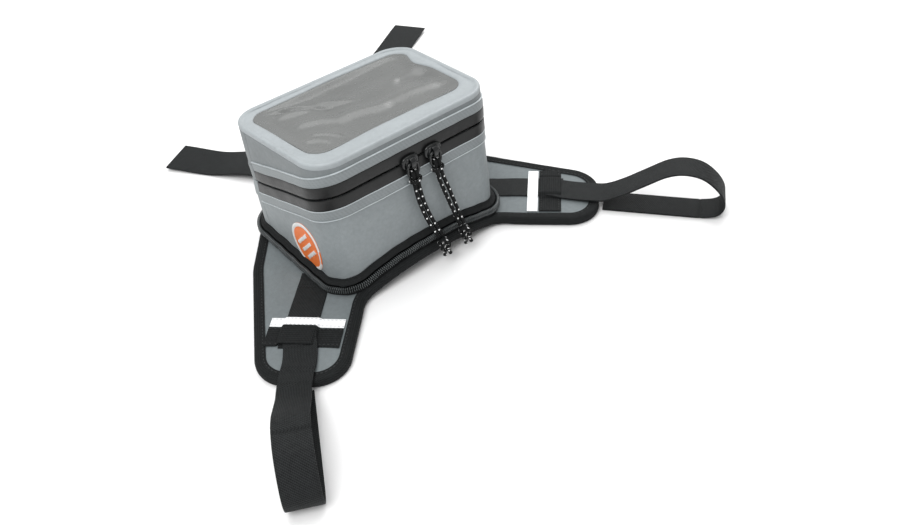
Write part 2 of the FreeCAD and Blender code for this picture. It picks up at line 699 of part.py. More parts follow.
def make_cords():
    """Two strands from each wire loop, tied in one knot."""
    for name, points in CORD_ROUTES.items():
        path, tightest = cord_path(points)
        start = Vector(*points[0])
        circle = Part.makeCircle(CORD / 2, start, Vector(*points[1]) - start)
        tube = path.makePipeShell([Part.Wire(circle)], True, True)
        whole = math.pi * CORD ** 2 / 4 * path.Length
        print("%s length %.1f tightest radius %.1f volume/section x length %.4f"
              % (name, path.Length, tightest, tube.Volume / whole))
        export(name, tube)
    for side, at in KNOT_AT.items():
        export(side + "_cord_knot", Part.makeSphere(KNOT_R, Vector(*at)))


os.makedirs(PARTS, exist_ok=True)
make_harness()
make_wing_trim()
make_loops()
make_back_straps()
make_pod()
make_badge()
make_lid()
make_base_zip()
make_sliders()
make_base_slider()
make_cords()
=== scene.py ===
import functools
import math

import bmesh
import bpy
from bpy.props import FloatProperty, FloatVectorProperty, IntProperty, PointerProperty
from mathutils import Matrix, Vector, geometry, kdtree, noise


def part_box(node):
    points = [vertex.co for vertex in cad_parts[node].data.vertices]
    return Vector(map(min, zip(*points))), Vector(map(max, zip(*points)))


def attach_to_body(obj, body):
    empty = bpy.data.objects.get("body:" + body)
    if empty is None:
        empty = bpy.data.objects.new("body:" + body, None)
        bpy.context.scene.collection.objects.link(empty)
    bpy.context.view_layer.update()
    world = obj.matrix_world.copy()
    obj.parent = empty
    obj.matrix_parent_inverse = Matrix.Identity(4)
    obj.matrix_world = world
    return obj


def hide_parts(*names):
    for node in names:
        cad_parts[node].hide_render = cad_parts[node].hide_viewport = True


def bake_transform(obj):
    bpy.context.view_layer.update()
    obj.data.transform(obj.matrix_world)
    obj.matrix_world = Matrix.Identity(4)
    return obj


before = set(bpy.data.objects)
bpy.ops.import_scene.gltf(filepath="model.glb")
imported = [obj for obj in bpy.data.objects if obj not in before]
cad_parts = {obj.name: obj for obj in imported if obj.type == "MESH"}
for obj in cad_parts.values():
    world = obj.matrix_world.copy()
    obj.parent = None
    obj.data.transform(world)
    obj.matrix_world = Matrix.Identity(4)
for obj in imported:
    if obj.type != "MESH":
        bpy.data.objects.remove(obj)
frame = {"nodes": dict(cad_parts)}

bl_info = {
    "name": "Tank bag",
    "version": (1, 0, 0),
    "blender": (4, 5, 0),
    "location": "3D View > Sidebar > Tank bag",
    "description": "Zip-lidded dry tank bag on an arched harness with two strapped wings",
    "category": "Object",
}

RT2 = math.sqrt(2.0)
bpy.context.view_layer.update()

# Free pull cords: route points (x, y, z) of each strand, in metres.
CORD_ROUTES = {
    "left_cord_inner": [(-0.0062, -0.0704, 0.0846), (-0.0059, -0.0708, 0.0745), (-0.0044, -0.0717, 0.0625),
                        (-0.0019, -0.0730, 0.0500), (0.0012, -0.0754, 0.0380), (0.0044, -0.0804, 0.0270)],
    "left_cord_outer": [(-0.0028, -0.0704, 0.0846), (-0.0022, -0.0710, 0.0740), (-0.0007, -0.0719, 0.0620),
                        (0.0017, -0.0733, 0.0505), (0.0048, -0.0759, 0.0385), (0.0079, -0.0808, 0.0270)],
    "right_cord_inner": [(0.0153, -0.0704, 0.0846), (0.0165, -0.0709, 0.0745), (0.0194, -0.0717, 0.0630),
                         (0.0224, -0.0730, 0.0510), (0.0249, -0.0755, 0.0390), (0.0265, -0.0804, 0.0267)],
    "right_cord_outer": [(0.0187, -0.0704, 0.0846), (0.0205, -0.0711, 0.0745), (0.0236, -0.0722, 0.0635),
                         (0.0264, -0.0735, 0.0515), (0.0285, -0.0761, 0.0395), (0.0300, -0.0808, 0.0267)],
}
SIDES = ("left", "right")


def length(name, text, default):
    """A size in metres for the sidebar."""
    return FloatProperty(name=name, description=text, default=default, min=0.0, unit="LENGTH",
                         subtype="DISTANCE", precision=4)


def paint(name, text, default):
    """A linear colour for the sidebar."""
    return FloatVectorProperty(name=name, description=text, default=default, subtype="COLOR",
                               size=3, min=0.0, max=1.0)


class BagSizes(bpy.types.PropertyGroup):
    """Sizes of the soft parts that stand on the fixed frame."""
    wall: length("Wall", "Thickness of the pod's laminated wall", 0.0024)
    tape: length("Zip tape", "Thickness of the welded zip and seam tapes", 0.0008)
    sag: length("Sag", "How far the pod's soft walls wander in and out", 0.0018)
    zip_band: length("Zip band", "Height of the whole band of the main zip", 0.0215)
    groove: length("Zip groove", "Gap between the main zip's two tapes", 0.0017)
    lower_weld: length("Lower weld tape", "Height of the seam tape under the zip", 0.0090)
    upper_weld: length("Upper weld tape", "Height of the seam tape over the zip", 0.0085)
    frame_front: length("Frame front", "Width of the welded frame in front of the window", 0.0220)
    frame_back: length("Frame back", "Width of the welded frame behind the window", 0.0090)
    frame_left: length("Frame left", "Width of the welded frame at the window's left", 0.0125)
    frame_right: length("Frame right", "Width of the welded frame at the window's right", 0.0090)
    film_dish: length("Film dish", "How far the window film hangs below its frame", 0.0022)
    panel: length("Panel", "Thickness of the harness panel", 0.0066)
    lap: length("Binding lap", "How far the binding laps over the panel", 0.0080)
    webbing: length("Webbing width", "Width of the wing webbing and its loops", 0.0254)
    back_strap: length("Back strap width", "Width of the two straps at the tail", 0.0380)
    cord: length("Cord", "Diameter of the pull cords", 0.0032)
    tooth_pitch: length("Base zip pitch", "Distance between two turns of the base zip's coil", 0.0017)
    stitch: length("Stitch", "Distance between two stitches", 0.0034)
    seed: IntProperty(name="Seed", description="Seed of the small irregularities", default=7)


class BagColours(bpy.types.PropertyGroup):
    """Colours of the fabrics and trims."""
    body: paint("Body", "Laminated walls and the seam tapes", (0.222, 0.246, 0.254))
    panel: paint("Panel", "Coated top fabric of the harness", (0.140, 0.160, 0.166))
    # The frame colour, made lighter, also gives the painted highlights along the seam tapes' edges.
    frame: paint("Lid frame", "Welded frame and the painted edge highlights", (0.305, 0.332, 0.344))
    zip: paint("Zip", "Film of the water-resistant zip", (0.0075, 0.0078, 0.0078))
    black: paint("Trim", "Binding, webbing, coil and cords", (0.0075, 0.0083, 0.0085))
    strip: paint("Strip", "Reflective strip across each wing", (0.860, 0.870, 0.880))
    film: paint("Film", "Window film of the lid", (0.205, 0.212, 0.208))
    badge: paint("Badge", "Face of the round rubber patch", (0.70, 0.155, 0.025))


def sizes():
    """The sizes now set in the sidebar."""
    return bpy.context.scene.bag_sizes


def colours():
    """The colours now set in the sidebar."""
    return bpy.context.scene.bag_colours


# ---- meshes --------------------------------------------------------------------------
def piece(name, verts, faces, materials, uvs=None, smooth=40.0, picks=None):
    """Object at the origin from points and faces, turned outwards, with shading by angle."""
    mesh = bpy.data.meshes.new(name)
    mesh.from_pydata([tuple(v) for v in verts], [], faces)
    if uvs:
        layer = mesh.uv_layers.new(name="UVMap")
        for loop in mesh.loops:
            layer.data[loop.index].uv = uvs[loop.vertex_index]
    for material in materials:
        mesh.materials.append(material)
    if picks:
        for face, pick in zip(mesh.polygons, picks):
            face.material_index = pick
    work = bmesh.new()
    work.from_mesh(mesh)
    bmesh.ops.recalc_face_normals(work, faces=work.faces)
    work.to_mesh(mesh)
    work.free()
    for face in mesh.polygons:
        face.use_smooth = True
    mesh.set_sharp_from_angle(angle=math.radians(smooth))
    mesh.update()
    obj = bpy.data.objects.new(name, mesh)
    bpy.context.scene.collection.objects.link(obj)
    return obj


def sweep(rows, closed_ring, material, name, uvs=False, smooth=40.0):
    """Solid skin over sections: rows[i][j] is point j of closed section i."""
    count, around = len(rows), len(rows[0])
    verts = [p for row in rows for p in row]
    faces = []
    for i in range(count if closed_ring else count - 1):
        k = (i + 1) % count
        for j in range(around):
            m = (j + 1) % around
            faces.append((i * around + j, i * around + m, k * around + m, k * around + j))
    if not closed_ring:
        faces.append(tuple(range(around)))
        faces.append(tuple(range((count - 1) * around, count * around)))
    marks = None
    if uvs:
        marks, run = [], 0.0
        for i, row in enumerate(rows):
            if i:
                run += (centre_of(row) - centre_of(rows[i - 1])).length
            over = 0.0
            for j, p in enumerate(row):
                if j:
                    over += (p - row[j - 1]).length
                marks.append((run, over))
    return piece(name, verts, faces, [material], marks, smooth)


def strip(one, two, n):
    """Faces between two rings of n points that start at these two numbers."""
    return [(one + j, one + (j + 1) % n, two + (j + 1) % n, two + j) for j in range(n)]


def fan(ring, tip, n):
    """Faces that close a ring of n points on one point."""
    return [(ring + j, ring + (j + 1) % n, tip) for j in range(n)]


def nest(start, rings, n):
    """Faces of nested rings of n points that close on the point after the last ring."""
    faces = []
    for r in range(rings - 1):
        faces += strip(start + r * n, start + (r + 1) * n, n)
    return faces + fan(start + (rings - 1) * n, start + rings * n, n)


def centre_of(points):
    """Middle of a list of points."""
    total = Vector((0, 0, 0))
    for p in points:
        total += p
    return total / len(points)


def smooth_step(x):
    """0 below 0, 1 above 1, and a soft rise between."""
    x = max(0.0, min(1.0, x))
    return x * x * (3 - 2 * x)


def eased(points, per=8):
    """Smooth run through given points (Catmull-Rom)."""
    pts = [Vector(p) for p in points]
    pts = [2 * pts[0] - pts[1]] + pts + [2 * pts[-1] - pts[-2]]
    out = []
    for i in range(1, len(pts) - 2):
        a, b, c, d = pts[i - 1:i + 3]
        for k in range(per):
            t = k / per
            out.append(0.5 * ((2 * b) + (c - a) * t + (2 * a - 5 * b + 4 * c - d) * t * t
                              + (3 * b - a - 3 * c + d) * t ** 3))
    out.append(pts[-2].copy())
    return out


def ribbon(name, path, across, width, thick, material):
    """Woven band: soft-edged flat section carried along a path; across is one vector per point."""
    rows = []
    half = width / 2
    for i, p in enumerate(path):
        ahead = path[min(i + 1, len(path) - 1)] - path[max(i - 1, 0)]
        side = (across[i] - ahead * (across[i].dot(ahead) / ahead.length_squared)).normalized()
        up = ahead.normalized().cross(side).normalized()
        if up.z < -0.999:
            up = -up
        section = []
        for u, w in ((-1, 0), (-0.985, -0.42), (-0.93, -0.5), (-0.5, -0.5), (0, -0.5), (0.5, -0.5),
                     (0.93, -0.5), (0.985, -0.42), (1, 0), (0.985, 0.42), (0.93, 0.5), (0.5, 0.5),
                     (0, 0.5), (-0.5, 0.5), (-0.93, 0.5), (-0.985, 0.42)):
            section.append(p + side * (u * half) + up * (w * thick))
        rows.append(section)
    return sweep(rows, False, material, name, uvs=True, smooth=50)


def tube(name, path, radius, material, sides=12, ends=True):
    """Round cord or wire along a path, with its own length and turn as UV."""
    rows, marks = [], []
    run = 0.0
    normal = Vector((0, 0, 1))
    count = len(path)
    for i, p in enumerate(path):
        ahead = (path[min(i + 1, count - 1)] - path[max(i - 1, 0)]).normalized()
        side = normal - ahead * normal.dot(ahead)
        if side.length < 0.05:
            side = Vector((1, 0, 0)) - ahead * ahead.x
        side.normalize()
        normal = side
        other = ahead.cross(side)
        if i:
            run += (p - path[i - 1]).length
        rows.append([p + (side * math.cos(a) + other * math.sin(a)) * radius
                     for a in (2 * math.pi * j / sides for j in range(sides))])
        marks.append(run)
    verts = [p for row in rows for p in row]
    faces = [f for i in range(count - 1) for f in strip(i * sides, (i + 1) * sides, sides)]
    uvs = [(marks[i], j / sides) for i in range(count) for j in range(sides)]
    for end, ring in ((0, 0), (-1, (count - 1) * sides)):
        out = (path[end] - path[1 if end == 0 else -2]).normalized()
        tip = path[end] + out * radius * (0.5 if ends else 0.0)
        verts.append(tip)
        uvs.append((marks[end], 0.5))
        faces += fan(ring, len(verts) - 1, sides)
    return piece(name, verts, faces, [material], uvs, 60)


def ring_wire(name, path, radius, material, sides=10):
    """Closed loop of round wire; the path lies in one plane."""
    count = len(path)
    flat = (path[1] - path[0]).cross(path[count // 3] - path[0]).normalized()
    rows = []
    for i, p in enumerate(path):
        ahead = (path[(i + 1) % count] - path[i - 1]).normalized()
        side = ahead.cross(flat).normalized()
        rows.append([p + (side * math.cos(a) + flat * math.sin(a)) * radius
                     for a in (2 * math.pi * j / sides for j in range(sides))])
    return sweep(rows, True, material, name, smooth=60)


def plain_mesh(obj):
    """Turn an object's evaluated modifiers into its own mesh."""
    bpy.context.view_layer.update()
    graph = bpy.context.evaluated_depsgraph_get()
    mesh = bpy.data.meshes.new_from_object(obj.evaluated_get(graph))
    obj.modifiers.clear()
    obj.data = mesh
    return obj


def bevelled(obj, width, segments=3):
    """Round the edges of a hard piece."""
    mod = obj.modifiers.new("Rounded edges", "BEVEL")
    mod.width = width
    mod.segments = segments
    mod.limit_method = "ANGLE"
    plain_mesh(obj)
    for face in obj.data.polygons:
        face.use_smooth = True
    obj.data.set_sharp_from_angle(angle=math.radians(50))
    return obj


def joined(name, objs):
    """Several made pieces as one object."""
    work = bmesh.new()
    for obj in objs:
        work.from_mesh(obj.data)
    mesh = bpy.data.meshes.new(name)
    work.to_mesh(mesh)
    work.free()
    for material in objs[0].data.materials:
        mesh.materials.append(material)
    for face in mesh.polygons:
        face.use_smooth = True
    mesh.set_sharp_from_angle(angle=math.radians(45))
    for obj in objs:
        bpy.data.objects.remove(obj)
    out = bpy.data.objects.new(name, mesh)
    bpy.context.scene.collection.objects.link(out)
    return out


def block(name, low, high, material, bevel):
    """Rounded block between two corners."""
    x0, y0, z0 = low
    x1, y1, z1 = high
    verts = [(x, y, z) for z in (z0, z1) for y in (y0, y1) for x in (x0, x1)]
    faces = [(0, 1, 3, 2), (4, 5, 7, 6), (0, 1, 5, 4), (2, 3, 7, 6), (0, 2, 6, 4), (1, 3, 7, 5)]
    return bevelled(piece(name, verts, faces, [material]), bevel)


# ---- Geometry Nodes ------------------------------------------------------------------
def bead_tree():
    """Tree that sets small rounded beads along a line: stitches and coil turns."""
    name = "Beads along a line"
    if name in bpy.data.node_groups:
        return bpy.data.node_groups[name]
    tree = bpy.data.node_groups.new(name, "GeometryNodeTree")
    socket = tree.interface.new_socket
    socket("Line", in_out="INPUT", socket_type="NodeSocketGeometry")
    for label, value in (("Pitch", 0.003), ("Across", 0.001), ("High", 0.0006), ("Along", 0.002),
                         ("Wander", 0.05)):
        made = socket(label, in_out="INPUT", socket_type="NodeSocketFloat")
        made.default_value = value
    seed = socket("Seed", in_out="INPUT", socket_type="NodeSocketInt")
    seed.default_value = 7
    socket("Material", in_out="INPUT", socket_type="NodeSocketMaterial")
    socket("Beads", in_out="OUTPUT", socket_type="NodeSocketGeometry")
    add, link = tree.nodes.new, tree.links.new
    given, out = add("NodeGroupInput"), add("NodeGroupOutput")
    curve = add("GeometryNodeMeshToCurve")
    level = add("GeometryNodeSetCurveNormal")
    level.mode = "Z_UP"
    points = add("GeometryNodeCurveToPoints")
    points.mode = "LENGTH"
    ball = add("GeometryNodeMeshUVSphere")
    ball.inputs["Segments"].default_value = 8
    ball.inputs["Rings"].default_value = 5
    ball.inputs["Radius"].default_value = 0.5
    scale = add("ShaderNodeCombineXYZ")
    place = add("GeometryNodeInstanceOnPoints")
    wander = add("FunctionNodeRandomValue")
    wander.data_type = "FLOAT_VECTOR"
    spread = add("ShaderNodeVectorMath")
    spread.operation = "SCALE"
    turn = add("GeometryNodeRotateInstances")
    real = add("GeometryNodeRealizeInstances")
    smooth = add("GeometryNodeSetShadeSmooth")
    coat = add("GeometryNodeSetMaterial")
    wander.inputs[0].default_value = (-1, -1, -1)
    wander.inputs[1].default_value = (1, 1, 1)
    link(given.outputs["Line"], curve.inputs["Mesh"])
    link(curve.outputs["Curve"], level.inputs["Curve"])
    link(level.outputs["Curve"], points.inputs["Curve"])
    link(given.outputs["Pitch"], points.inputs["Length"])
    link(given.outputs["Across"], scale.inputs["X"])
    link(given.outputs["High"], scale.inputs["Y"])
    link(given.outputs["Along"], scale.inputs["Z"])
    link(points.outputs["Points"], place.inputs["Points"])
    link(points.outputs["Rotation"], place.inputs["Rotation"])
    link(ball.outputs["Mesh"], place.inputs["Instance"])
    link(scale.outputs["Vector"], place.inputs["Scale"])
    link(given.outputs["Seed"], wander.inputs["Seed"])
    link(wander.outputs[0], spread.inputs[0])
    link(given.outputs["Wander"], spread.inputs["Scale"])
    link(place.outputs["Instances"], turn.inputs["Instances"])
    link(spread.outputs["Vector"], turn.inputs["Rotation"])
    link(turn.outputs["Instances"], real.inputs["Geometry"])
    link(real.outputs["Geometry"], smooth.inputs["Geometry"])
    link(smooth.outputs["Geometry"], coat.inputs["Geometry"])
    link(given.outputs["Material"], coat.inputs["Material"])
    link(coat.outputs["Geometry"], out.inputs["Beads"])
    return tree


def beads(name, lines, pitch, across, high, along, material, wander=0.05, closed=False):
    """Beads along several lines, as one plain mesh."""
    verts, edges = [], []
    for line in lines:
        start = len(verts)
        verts += [tuple(p) for p in line]
        edges += [(start + i, start + i + 1) for i in range(len(line) - 1)]
        if closed:
            edges.append((len(verts) - 1, start))
    mesh = bpy.data.meshes.new(name)
    mesh.from_pydata(verts, edges, [])
    obj = bpy.data.objects.new(name, mesh)
    bpy.context.scene.collection.objects.link(obj)
    tree = bead_tree()
    mod = obj.modifiers.new("Beads", "NODES")
    mod.node_group = tree
    values = {"Pitch": pitch, "Across": across, "High": high, "Along": along, "Wander": wander,
              "Seed": sizes().seed, "Material": material}
    for item in tree.interface.items_tree:
        if item.in_out == "INPUT" and item.name in values:
            mod[item.identifier] = values[item.name]
    return plain_mesh(obj)


# ---- shader node groups --------------------------------------------------------------
def group(name, inputs, outputs):
    """Empty shader group with float inputs and outputs; returns it with its two end nodes."""
    tree = bpy.data.node_groups.new(name, "ShaderNodeTree")
    for label, value in inputs:
        made = tree.interface.new_socket(label, in_out="INPUT", socket_type="NodeSocketFloat")
        made.default_value = value
    for label in outputs:
        tree.interface.new_socket(label, in_out="OUTPUT", socket_type="NodeSocketFloat")
    return tree, tree.nodes.new("NodeGroupInput"), tree.nodes.new("NodeGroupOutput")


def maths(tree, kind, a, b=None, c=None):
    """One Math node fed by sockets or numbers; returns its result."""
    node = tree.nodes.new("ShaderNodeMath")
    node.operation = kind
    for i, value in enumerate((a, b, c)):
        if value is None:
            continue
        if isinstance(value, (int, float)):
            node.inputs[i].default_value = value
        else:
            tree.links.new(value, node.inputs[i])
    return node.outputs[0]


def noise_value(tree, vector, scale, detail=3.0, rough=0.55):
    """One noise field; scale is a number or a socket."""
    node = tree.nodes.new("ShaderNodeTexNoise")
    node.inputs["Detail"].default_value = detail
    node.inputs["Roughness"].default_value = rough
    if isinstance(scale, (int, float)):
        node.inputs["Scale"].default_value = scale
    else:
        tree.links.new(scale, node.inputs["Scale"])
    tree.links.new(vector, node.inputs["Vector"])
    return node.outputs["Fac"]


def grain_group():
    """Fine grain of a coated cloth, with soft blotches and handling marks."""
    name = "Cloth grain"
    if name in bpy.data.node_groups:
        return bpy.data.node_groups[name]
    tree, given, out = group(name, (("Grain", 900.0), ("Blotch", 30.0)), ("Height", "Shade", "Marks"))
    where = tree.nodes.new("ShaderNodeTexCoord").outputs["Object"]
    cells = tree.nodes.new("ShaderNodeTexVoronoi")
    cells.feature = "F1"
    tree.links.new(where, cells.inputs["Vector"])
    tree.links.new(given.outputs["Grain"], cells.inputs["Scale"])
    fine = noise_value(tree, where, maths(tree, "MULTIPLY", given.outputs["Grain"], 0.45), 4.0, 0.6)
    broad = noise_value(tree, where, given.outputs["Blotch"], 3.0, 0.6)
    height = maths(tree, "ADD", maths(tree, "MULTIPLY", cells.outputs["Distance"], 0.6), fine)
    shade = maths(tree, "ADD", maths(tree, "MULTIPLY", fine, 0.55), maths(tree, "MULTIPLY", broad, 0.45))
    marks = noise_value(tree, where, maths(tree, "MULTIPLY", given.outputs["Blotch"], 3.7), 5.0, 0.7)
    tree.links.new(height, out.inputs["Height"])
    tree.links.new(shade, out.inputs["Shade"])
    tree.links.new(marks, out.inputs["Marks"])
    return tree


def weave_group():
    """Ribs and picks of a woven band, from its own UV in metres."""
    name = "Band weave"
    if name in bpy.data.node_groups:
        return bpy.data.node_groups[name]
    inputs = (("Along", 1500.0), ("Across", 1200.0), ("Slant", 0.0))
    tree, given, out = group(name, inputs, ("Height", "Shade"))
    apart = tree.nodes.new("ShaderNodeSeparateXYZ")
    uv = tree.nodes.new("ShaderNodeUVMap")
    uv.uv_map = "UVMap"
    tree.links.new(uv.outputs["UV"], apart.inputs[0])
    u = maths(tree, "MULTIPLY", apart.outputs["X"], given.outputs["Along"])
    v = maths(tree, "MULTIPLY", apart.outputs["Y"], given.outputs["Across"])
    slanted = maths(tree, "ADD", u, maths(tree, "MULTIPLY", v, given.outputs["Slant"]))
    one = maths(tree, "SINE", maths(tree, "MULTIPLY", slanted, 2 * math.pi))
    two = maths(tree, "SINE", maths(tree, "MULTIPLY", v, 2 * math.pi))
    both = maths(tree, "ADD", maths(tree, "MULTIPLY", one, 0.30), maths(tree, "MULTIPLY", two, 0.20))
    height = maths(tree, "ADD", both, 0.5)
    where = tree.nodes.new("ShaderNodeTexCoord").outputs["Object"]
    lint = noise_value(tree, where, 260.0, 4.0, 0.7)
    shade = maths(tree, "ADD", maths(tree, "MULTIPLY", height, 0.6), maths(tree, "MULTIPLY", lint, 0.5))
    tree.links.new(height, out.inputs["Height"])
    tree.links.new(shade, out.inputs["Shade"])
    return tree


# ---- finishes ------------------------------------------------------------------------
def grouped(tree, made, **inputs):
    """Node of a shader group, with these inputs."""
    node = tree.nodes.new("ShaderNodeGroup")
    node.node_tree = made
    for name, value in inputs.items():
        node.inputs[name].default_value = value
    return node


def blank(name, rough, specular=0.5):
    """New material with only its shader; returns material, tree and shader."""
    material = bpy.data.materials.new(name)
    material.use_nodes = True
    tree = material.node_tree
    tree.nodes.clear()
    out = tree.nodes.new("ShaderNodeOutputMaterial")
    shader = tree.nodes.new("ShaderNodeBsdfPrincipled")
    tree.links.new(shader.outputs[0], out.inputs[0])
    shader.inputs["Roughness"].default_value = rough
    shader.inputs["Specular IOR Level"].default_value = specular
    return material, tree, shader


def tint(tree, shader, factor, low, high):
    """Base colour that runs between two colours."""
    ramp = tree.nodes.new("ShaderNodeValToRGB")
    ramp.color_ramp.elements[0].position = 0.25
    ramp.color_ramp.elements[1].position = 0.75
    ramp.color_ramp.elements[0].color = (*low, 1)
    ramp.color_ramp.elements[1].color = (*high, 1)
    tree.links.new(factor, ramp.inputs[0])
    tree.links.new(ramp.outputs[0], shader.inputs["Base Color"])


def relief(tree, shader, height, strength, distance):
    """Bump from a height."""
    bump = tree.nodes.new("ShaderNodeBump")
    bump.inputs["Strength"].default_value = strength
    bump.inputs["Distance"].default_value = distance
    tree.links.new(height, bump.inputs["Height"])
    tree.links.new(bump.outputs[0], shader.inputs["Normal"])


def shift(colour, by):
    """A colour made lighter or darker."""
    return tuple(max(0.0, min(1.0, c * by)) for c in colour)


def coated(name, colour, rough, grain=900.0, blotch=30.0, spread=0.14, depth=0.00012, bump=0.5,
           specular=0.4):
    """Coated or laminated cloth: fine grain, soft blotches, uneven gloss."""
    if name in bpy.data.materials:
        return bpy.data.materials[name]
    material, tree, shader = blank(name, rough, specular=specular)
    grains = grouped(tree, grain_group(), Grain=grain, Blotch=blotch)
    tint(tree, shader, grains.outputs["Shade"], shift(colour, 1 - spread), shift(colour, 1 + spread))
    relief(tree, shader, grains.outputs["Height"], bump, depth)
    gloss = maths(tree, "MULTIPLY_ADD", grains.outputs["Marks"], 0.22, rough - 0.11)
    tree.links.new(gloss, shader.inputs["Roughness"])
    return material


def woven(name, colour, rough, along, across, slant=0.0, spread=0.5, depth=0.0004, bump=0.8):
    """Woven band: ribs that follow its own length."""
    if name in bpy.data.materials:
        return bpy.data.materials[name]
    material, tree, shader = blank(name, rough, specular=0.14)
    weave = grouped(tree, weave_group(), Along=along, Across=across, Slant=slant)
    tint(tree, shader, weave.outputs["Shade"], shift(colour, 1 - spread), shift(colour, 1 + 2.2 * spread))
    relief(tree, shader, weave.outputs["Height"], bump, depth)
    return material


def body_cloth():
    """Matt laminate of the pod."""
    return coated("Pod laminate", colours().body, 0.55, grain=700, blotch=26, spread=0.16, depth=0.00018)


def lid_cloth_painted_shade():
    """Laminate of the lid wall, drawn darker than the pod's (0.72 of its colour) as painted shade."""
    return coated("Lid laminate", shift(colours().body, 0.72), 0.50, grain=700, blotch=30, spread=0.18,
                  depth=0.00018)


def panel_cloth():
    """Coated top fabric of the harness."""
    return coated("Panel fabric", colours().panel, 0.68, grain=760, blotch=22, spread=0.18, depth=0.00020)


def frame_cloth():
    """Lighter satin laminate of the lid frame."""
    return coated("Frame laminate", colours().frame, 0.48, grain=620, blotch=34, spread=0.12, depth=0.00014)


def seam_cloth():
    """Seam tape with its embossed rows."""
    name = "Seam tape"
    if name in bpy.data.materials:
        return bpy.data.materials[name]
    material, tree, shader = blank(name, 0.5)
    grains = grouped(tree, grain_group(), Grain=700)
    weave = grouped(tree, weave_group(), Along=330, Across=520, Slant=0.4)
    mixed = maths(tree, "ADD", maths(tree, "MULTIPLY", weave.outputs["Height"], 0.45),
                  maths(tree, "MULTIPLY", grains.outputs["Height"], 0.5))
    colour = shift(colours().body, 0.86)
    tint(tree, shader, mixed, shift(colour, 0.88), shift(colour, 1.08))
    relief(tree, shader, mixed, 0.5, 0.0003)
    return material


def zip_film():
    """Near-black satin film of the zip."""
    return coated("Zip film", colours().zip, 0.40, grain=420, blotch=40, spread=0.30, depth=0.00016,
                  specular=0.32)


def binding_tape():
    """Twill binding tape."""
    return woven("Binding tape", colours().black, 0.78, 620, 620, slant=1.0, spread=0.55, depth=0.0005)


def strap_cloth():
    """Ribbed polyester webbing."""
    return woven("Webbing", shift(colours().black, 1.25), 0.60, 560, 900, slant=0.5, spread=0.55,
                 depth=0.0005)


def elastic_cloth():
    """Ribbed elastic of the keepers."""
    return woven("Elastic", colours().black, 0.74, 900, 520, spread=0.6, depth=0.0005)


def coil_plastic_painted_glint():
    """Black nylon of the zip coils, drawn nine times lighter than the trim as painted highlight for the
    coils' glints.
    """
    return coated("Coil nylon", shift(colours().black, 9.0), 0.17, grain=300, blotch=60, spread=0.3, bump=0.1,
                  specular=0.8)


def thread(light=False):
    """Sewing thread."""
    if light:
        return coated("Light thread", (0.55, 0.56, 0.57), 0.6, grain=1500, blotch=90, bump=0.3)
    return coated("Black thread", shift(colours().black, 2.2), 0.55, grain=1500, blotch=90, spread=0.3,
                  bump=0.3)


def strip_cloth():
    """Glass-bead reflective strip."""
    return coated("Reflective strip", colours().strip, 0.38, grain=1400, blotch=60, spread=0.06, bump=0.25)


def enamel():
    """Black enamel on the sliders and wire loops."""
    return coated("Black enamel", shift(colours().black, 1.2), 0.13, grain=240, blotch=120, spread=0.3,
                  bump=0.05)


def grip_rubber():
    """Anti-slip underside with printed dots."""
    name = "Grip rubber"
    if name in bpy.data.materials:
        return bpy.data.materials[name]
    material, tree, shader = blank(name, 0.75)
    where = tree.nodes.new("ShaderNodeTexCoord").outputs["Object"]
    dots = tree.nodes.new("ShaderNodeTexVoronoi")
    dots.inputs["Scale"].default_value = 260
    dots.inputs["Randomness"].default_value = 0.0
    tree.links.new(where, dots.inputs["Vector"])
    bead = maths(tree, "LESS_THAN", dots.outputs["Distance"], 0.30)
    tint(tree, shader, bead, (0.018, 0.018, 0.019), (0.045, 0.045, 0.047))
    relief(tree, shader, bead, 0.7, 0.0006)
    return material


def window_film():
    """Soft clear film, clouded and unevenly glossy."""
    name = "Window film"
    if name in bpy.data.materials:
        return bpy.data.materials[name]
    material, tree, shader = blank(name, 0.2, specular=0.7)
    shader.inputs["Transmission Weight"].default_value = 0.35
    shader.inputs["IOR"].default_value = 1.46
    grains = grouped(tree, grain_group(), Grain=36, Blotch=14)
    colour = colours().film
    tint(tree, shader, grains.outputs["Shade"], shift(colour, 0.86), shift(colour, 1.08))
    gloss = maths(tree, "MULTIPLY_ADD", grains.outputs["Marks"], 0.20, 0.17)
    tree.links.new(gloss, shader.inputs["Roughness"])
    relief(tree, shader, grains.outputs["Height"], 0.12, 0.0004)
    return material


def cord_braid():
    """Black braided cord with pale flecks."""
    name = "Cord braid"
    if name in bpy.data.materials:
        return bpy.data.materials[name]
    material, tree, shader = blank(name, 0.62, specular=0.16)
    weave = grouped(tree, weave_group(), Along=420, Across=8, Slant=1.0)
    apart = tree.nodes.new("ShaderNodeSeparateXYZ")
    uv = tree.nodes.new("ShaderNodeUVMap")
    uv.uv_map = "UVMap"
    tree.links.new(uv.outputs["UV"], apart.inputs[0])
    lane = maths(tree, "MULTIPLY", apart.outputs["Y"], 3.0)
    turn = maths(tree, "ADD", maths(tree, "MULTIPLY", apart.outputs["X"], 140.0),
                 maths(tree, "MULTIPLY", maths(tree, "FLOOR", lane), 0.37))

    def near_middle(value, reach):
        away = maths(tree, "SUBTRACT", maths(tree, "FRACT", value), 0.5)
        return maths(tree, "LESS_THAN", maths(tree, "ABSOLUTE", away), reach)
    fleck = maths(tree, "MULTIPLY", near_middle(turn, 0.085), near_middle(lane, 0.19))
    tint(tree, shader, fleck, shift(colours().black, 0.8), (0.85, 0.86, 0.86))
    relief(tree, shader, weave.outputs["Height"], 0.8, 0.0005)
    return material


